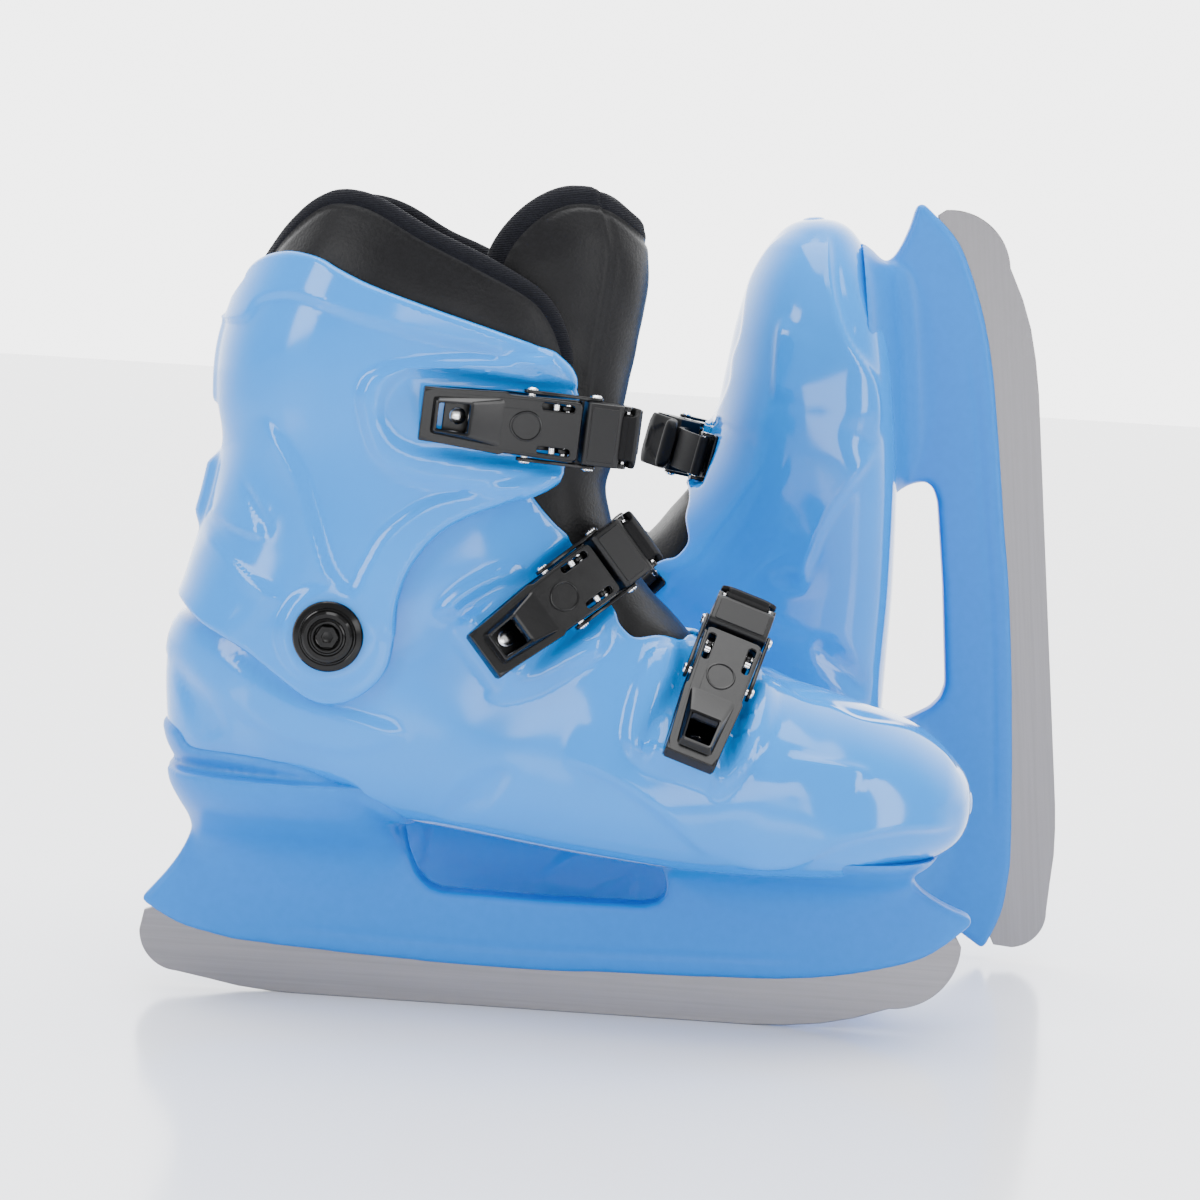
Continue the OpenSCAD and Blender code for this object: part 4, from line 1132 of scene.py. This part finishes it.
def make_base(b):
    parts = []
    plate = rounded([(-LEVER_LEN + 5, -8.4), (5, -8.4), (5, 8.4), (-LEVER_LEN + 5, 8.4)], 2)
    parts.append((*extrude(plate, PLATE_Z, PLATE_Z + 1.5, bevel=0.3), 0))
    ear = rounded([(-4.4, PLATE_Z + 0.5), (2.6, PLATE_Z + 0.5), (2.4, -1), (1.7, 1.7), (-1.7, 2.4),
        (-4, 0)], 0.9)
    parts += cheeks(ear, 6.6, 8.4)
    parts.append((*rod((0, 0), LEVER_HALF - 0.1, 1.5), 1))
    for x in (-38, -24):
        parts.append((*stud((x, 0, PLATE_Z + 1.45), 3, 1.6), 1))
    parts.append((*rod(b.anchor, 9.9, 1.0), 1))
    lug = rounded([(-1.8, -1.9), (4.1, -2.2), (4.1, 2.2), (-1.8, 1.9)], 1.1)
    foot = rounded([(-9.8, -5), (9.8, -5), (9.8, 5), (-9.8, 5)], 1.6)
    parts += [(b.on_anchor(p), f, kind) for p, f, kind in cheeks(lug, 8.3, 9.8)]
    p, f = extrude(foot, 2.8, 4.2, bevel=0.3)
    parts.append((b.on_anchor(np.stack([p[:, 2], p[:, 0], p[:, 1]], 1)), f, 0))
    return joined(*parts)


def settle(p, faces):
    """Faces of closed pieces turned to look outwards, piece by piece."""
    parent = list(range(len(p)))

    def root(i):
        while parent[i] != i:
            parent[i] = parent[parent[i]]
            i = parent[i]
        return i
    for face in faces:
        a = root(face[0])
        for i in face[1:]:
            parent[root(i)] = a
    volume = {}
    for face in faces:
        r, o = root(face[0]), p[face[0]]
        for k in range(1, len(face) - 1):
            volume[r] = volume.get(r, 0) + np.dot(o, np.cross(p[face[k]], p[face[k + 1]]))
    return [face if volume[root(face[0])] > 0 else face[::-1] for face in faces]


lever, links = make_lever(), make_links()
for name, b in BUCKLES.items():
    for piece, part, mats, slot, body in ((f"{name}_buckle_base", make_base(b), [PAINT, SILVER],
            "buckle_steel", b.body), (f"{name}_buckle_lever", lever, [PAINT, SILVER],
            "buckle_steel", f"{name}_lever"), (f"{name}_buckle_links", links, [PAINT, SILVER],
            "link_steel", f"{name}_links"), (f"{name}_strap", make_strap(b), [RUBBER, SATIN_BLACK,
            PAINT, SILVER], "strap_plastic", f"{name}_strap"), (f"{name}_buckle_tab", make_tab(b),
            [RUBBER], "tab_rubber", f"{name}_tab")):
        p, faces, kinds = part
        p = b.world(p)
        nodes = [piece, f"{name}_buckle_head"] if piece.endswith("_strap") else None
        emit(piece, body, slot, mats, p, settle(p, faces), kinds, nodes, 32)

# ---- CAD pieces that are shown as they are
for side in ("right", "left"):
    for name, finish in (("sole_rivets", SILVER_CAD), ("pivot_nuts", SILVER_CAD), ("insole", FELT)):
        node = frame["nodes"][f"{side}_{name}"]
        node.data.materials.clear()
        node.data.materials.append(finish)

# ---- floor, light and camera
low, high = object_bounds()     # of the visual model, with every piece in place


def floor_material():
    m, tree, shader = blank("pale_floor")
    place, noise = add_node(tree, "TexCoord"), add_node(tree, "TexNoise", Scale=6)
    tree.links.new(place.outputs["Object"], noise.inputs["Vector"])
    tones = (0.86, 0.87, 0.91), (0.88, 0.89, 0.93)
    two_tone(tree, noise.outputs["Fac"], shader.inputs["Base Color"], tones)
    set_inputs(shader, Roughness=0.16, Specular_IOR_Level=0.55)
    return m


bpy.ops.mesh.primitive_plane_add(size=12, location=(0, 0, min(0.0, low.z)))
floor = bpy.context.object
floor.name = "floor"
floor.data.materials.append(floor_material())


def soft_light(name, at, target, size, power, tall=None):
    data = bpy.data.lights.new(name, "AREA")
    data.energy = power
    data.size = size
    if tall:
        data.shape = "RECTANGLE"
        data.size_y = tall
    ob = linked(name, data)
    ob.location = at
    ob.rotation_mode = "QUATERNION"
    ob.rotation_quaternion = (Vector(target) - Vector(at)).to_track_quat("-Z", "Y")


middle = (0.05, 0.03, 0.15)
soft_light("overhead", (0.1, -0.15, 1.5), middle, 1.1, 26)
soft_light("front_left", (-1.25, -1.2, 0.8), middle, 0.45, 17, tall=1.2)
soft_light("front_right", (1.35, -1.1, 0.65), middle, 0.4, 13, tall=1.1)
soft_light("low_front", (0.1, -1.7, 0.25), middle, 0.8, 5, tall=0.3)

world = bpy.data.worlds.new("studio")
bpy.context.scene.world = world
world.use_nodes = True
# a bright backdrop behind the skates and a dimmer room in front of them
sky = world.node_tree
sky.nodes["Background"].inputs["Color"].default_value = (1, 1, 1, 1)
toward, parts = add_node(sky, "TexCoord"), add_node(sky, "SeparateXYZ")
level = add_node(sky, "MapRange", From_Min=-0.3, From_Max=0.75, To_Min=0.85, To_Max=4.6)
level.interpolation_type = "SMOOTHSTEP"
sky.links.new(toward.outputs["Generated"], parts.inputs["Vector"])
sky.links.new(parts.outputs["Y"], level.inputs["Value"])
sky.links.new(level.outputs["Result"], sky.nodes["Background"].inputs["Strength"])

# the photograph's own view: focal length in its pixels, angles in degrees, metres
FOCAL_PIXELS, FRAME_PIXELS = 3162, 1200
AZIMUTH, ELEVATION, ROLL, DISTANCE = 2.0, 6.0, 3.47, 1.164
AIM = Vector((0.0116, 0.0, 0.1548))
camera_data = bpy.data.cameras.new("photo_camera")
camera_data.sensor_width = 36
camera_data.lens = FOCAL_PIXELS * camera_data.sensor_width / FRAME_PIXELS
camera_data.clip_end = 30
camera = linked("photo_camera", camera_data)
azimuth, elevation, roll = (math.radians(d) for d in (AZIMUTH, ELEVATION, ROLL))
back = Vector((math.sin(azimuth) * math.cos(elevation), -math.cos(azimuth) * math.cos(elevation),
    math.sin(elevation)))
turned = (-back).to_track_quat("-Z", "Y") @ Matrix.Rotation(roll, 4, "Z").to_quaternion()
camera.rotation_mode = "QUATERNION"
camera.rotation_quaternion = turned
camera.location = AIM + back * DISTANCE
bpy.context.scene.camera = camera
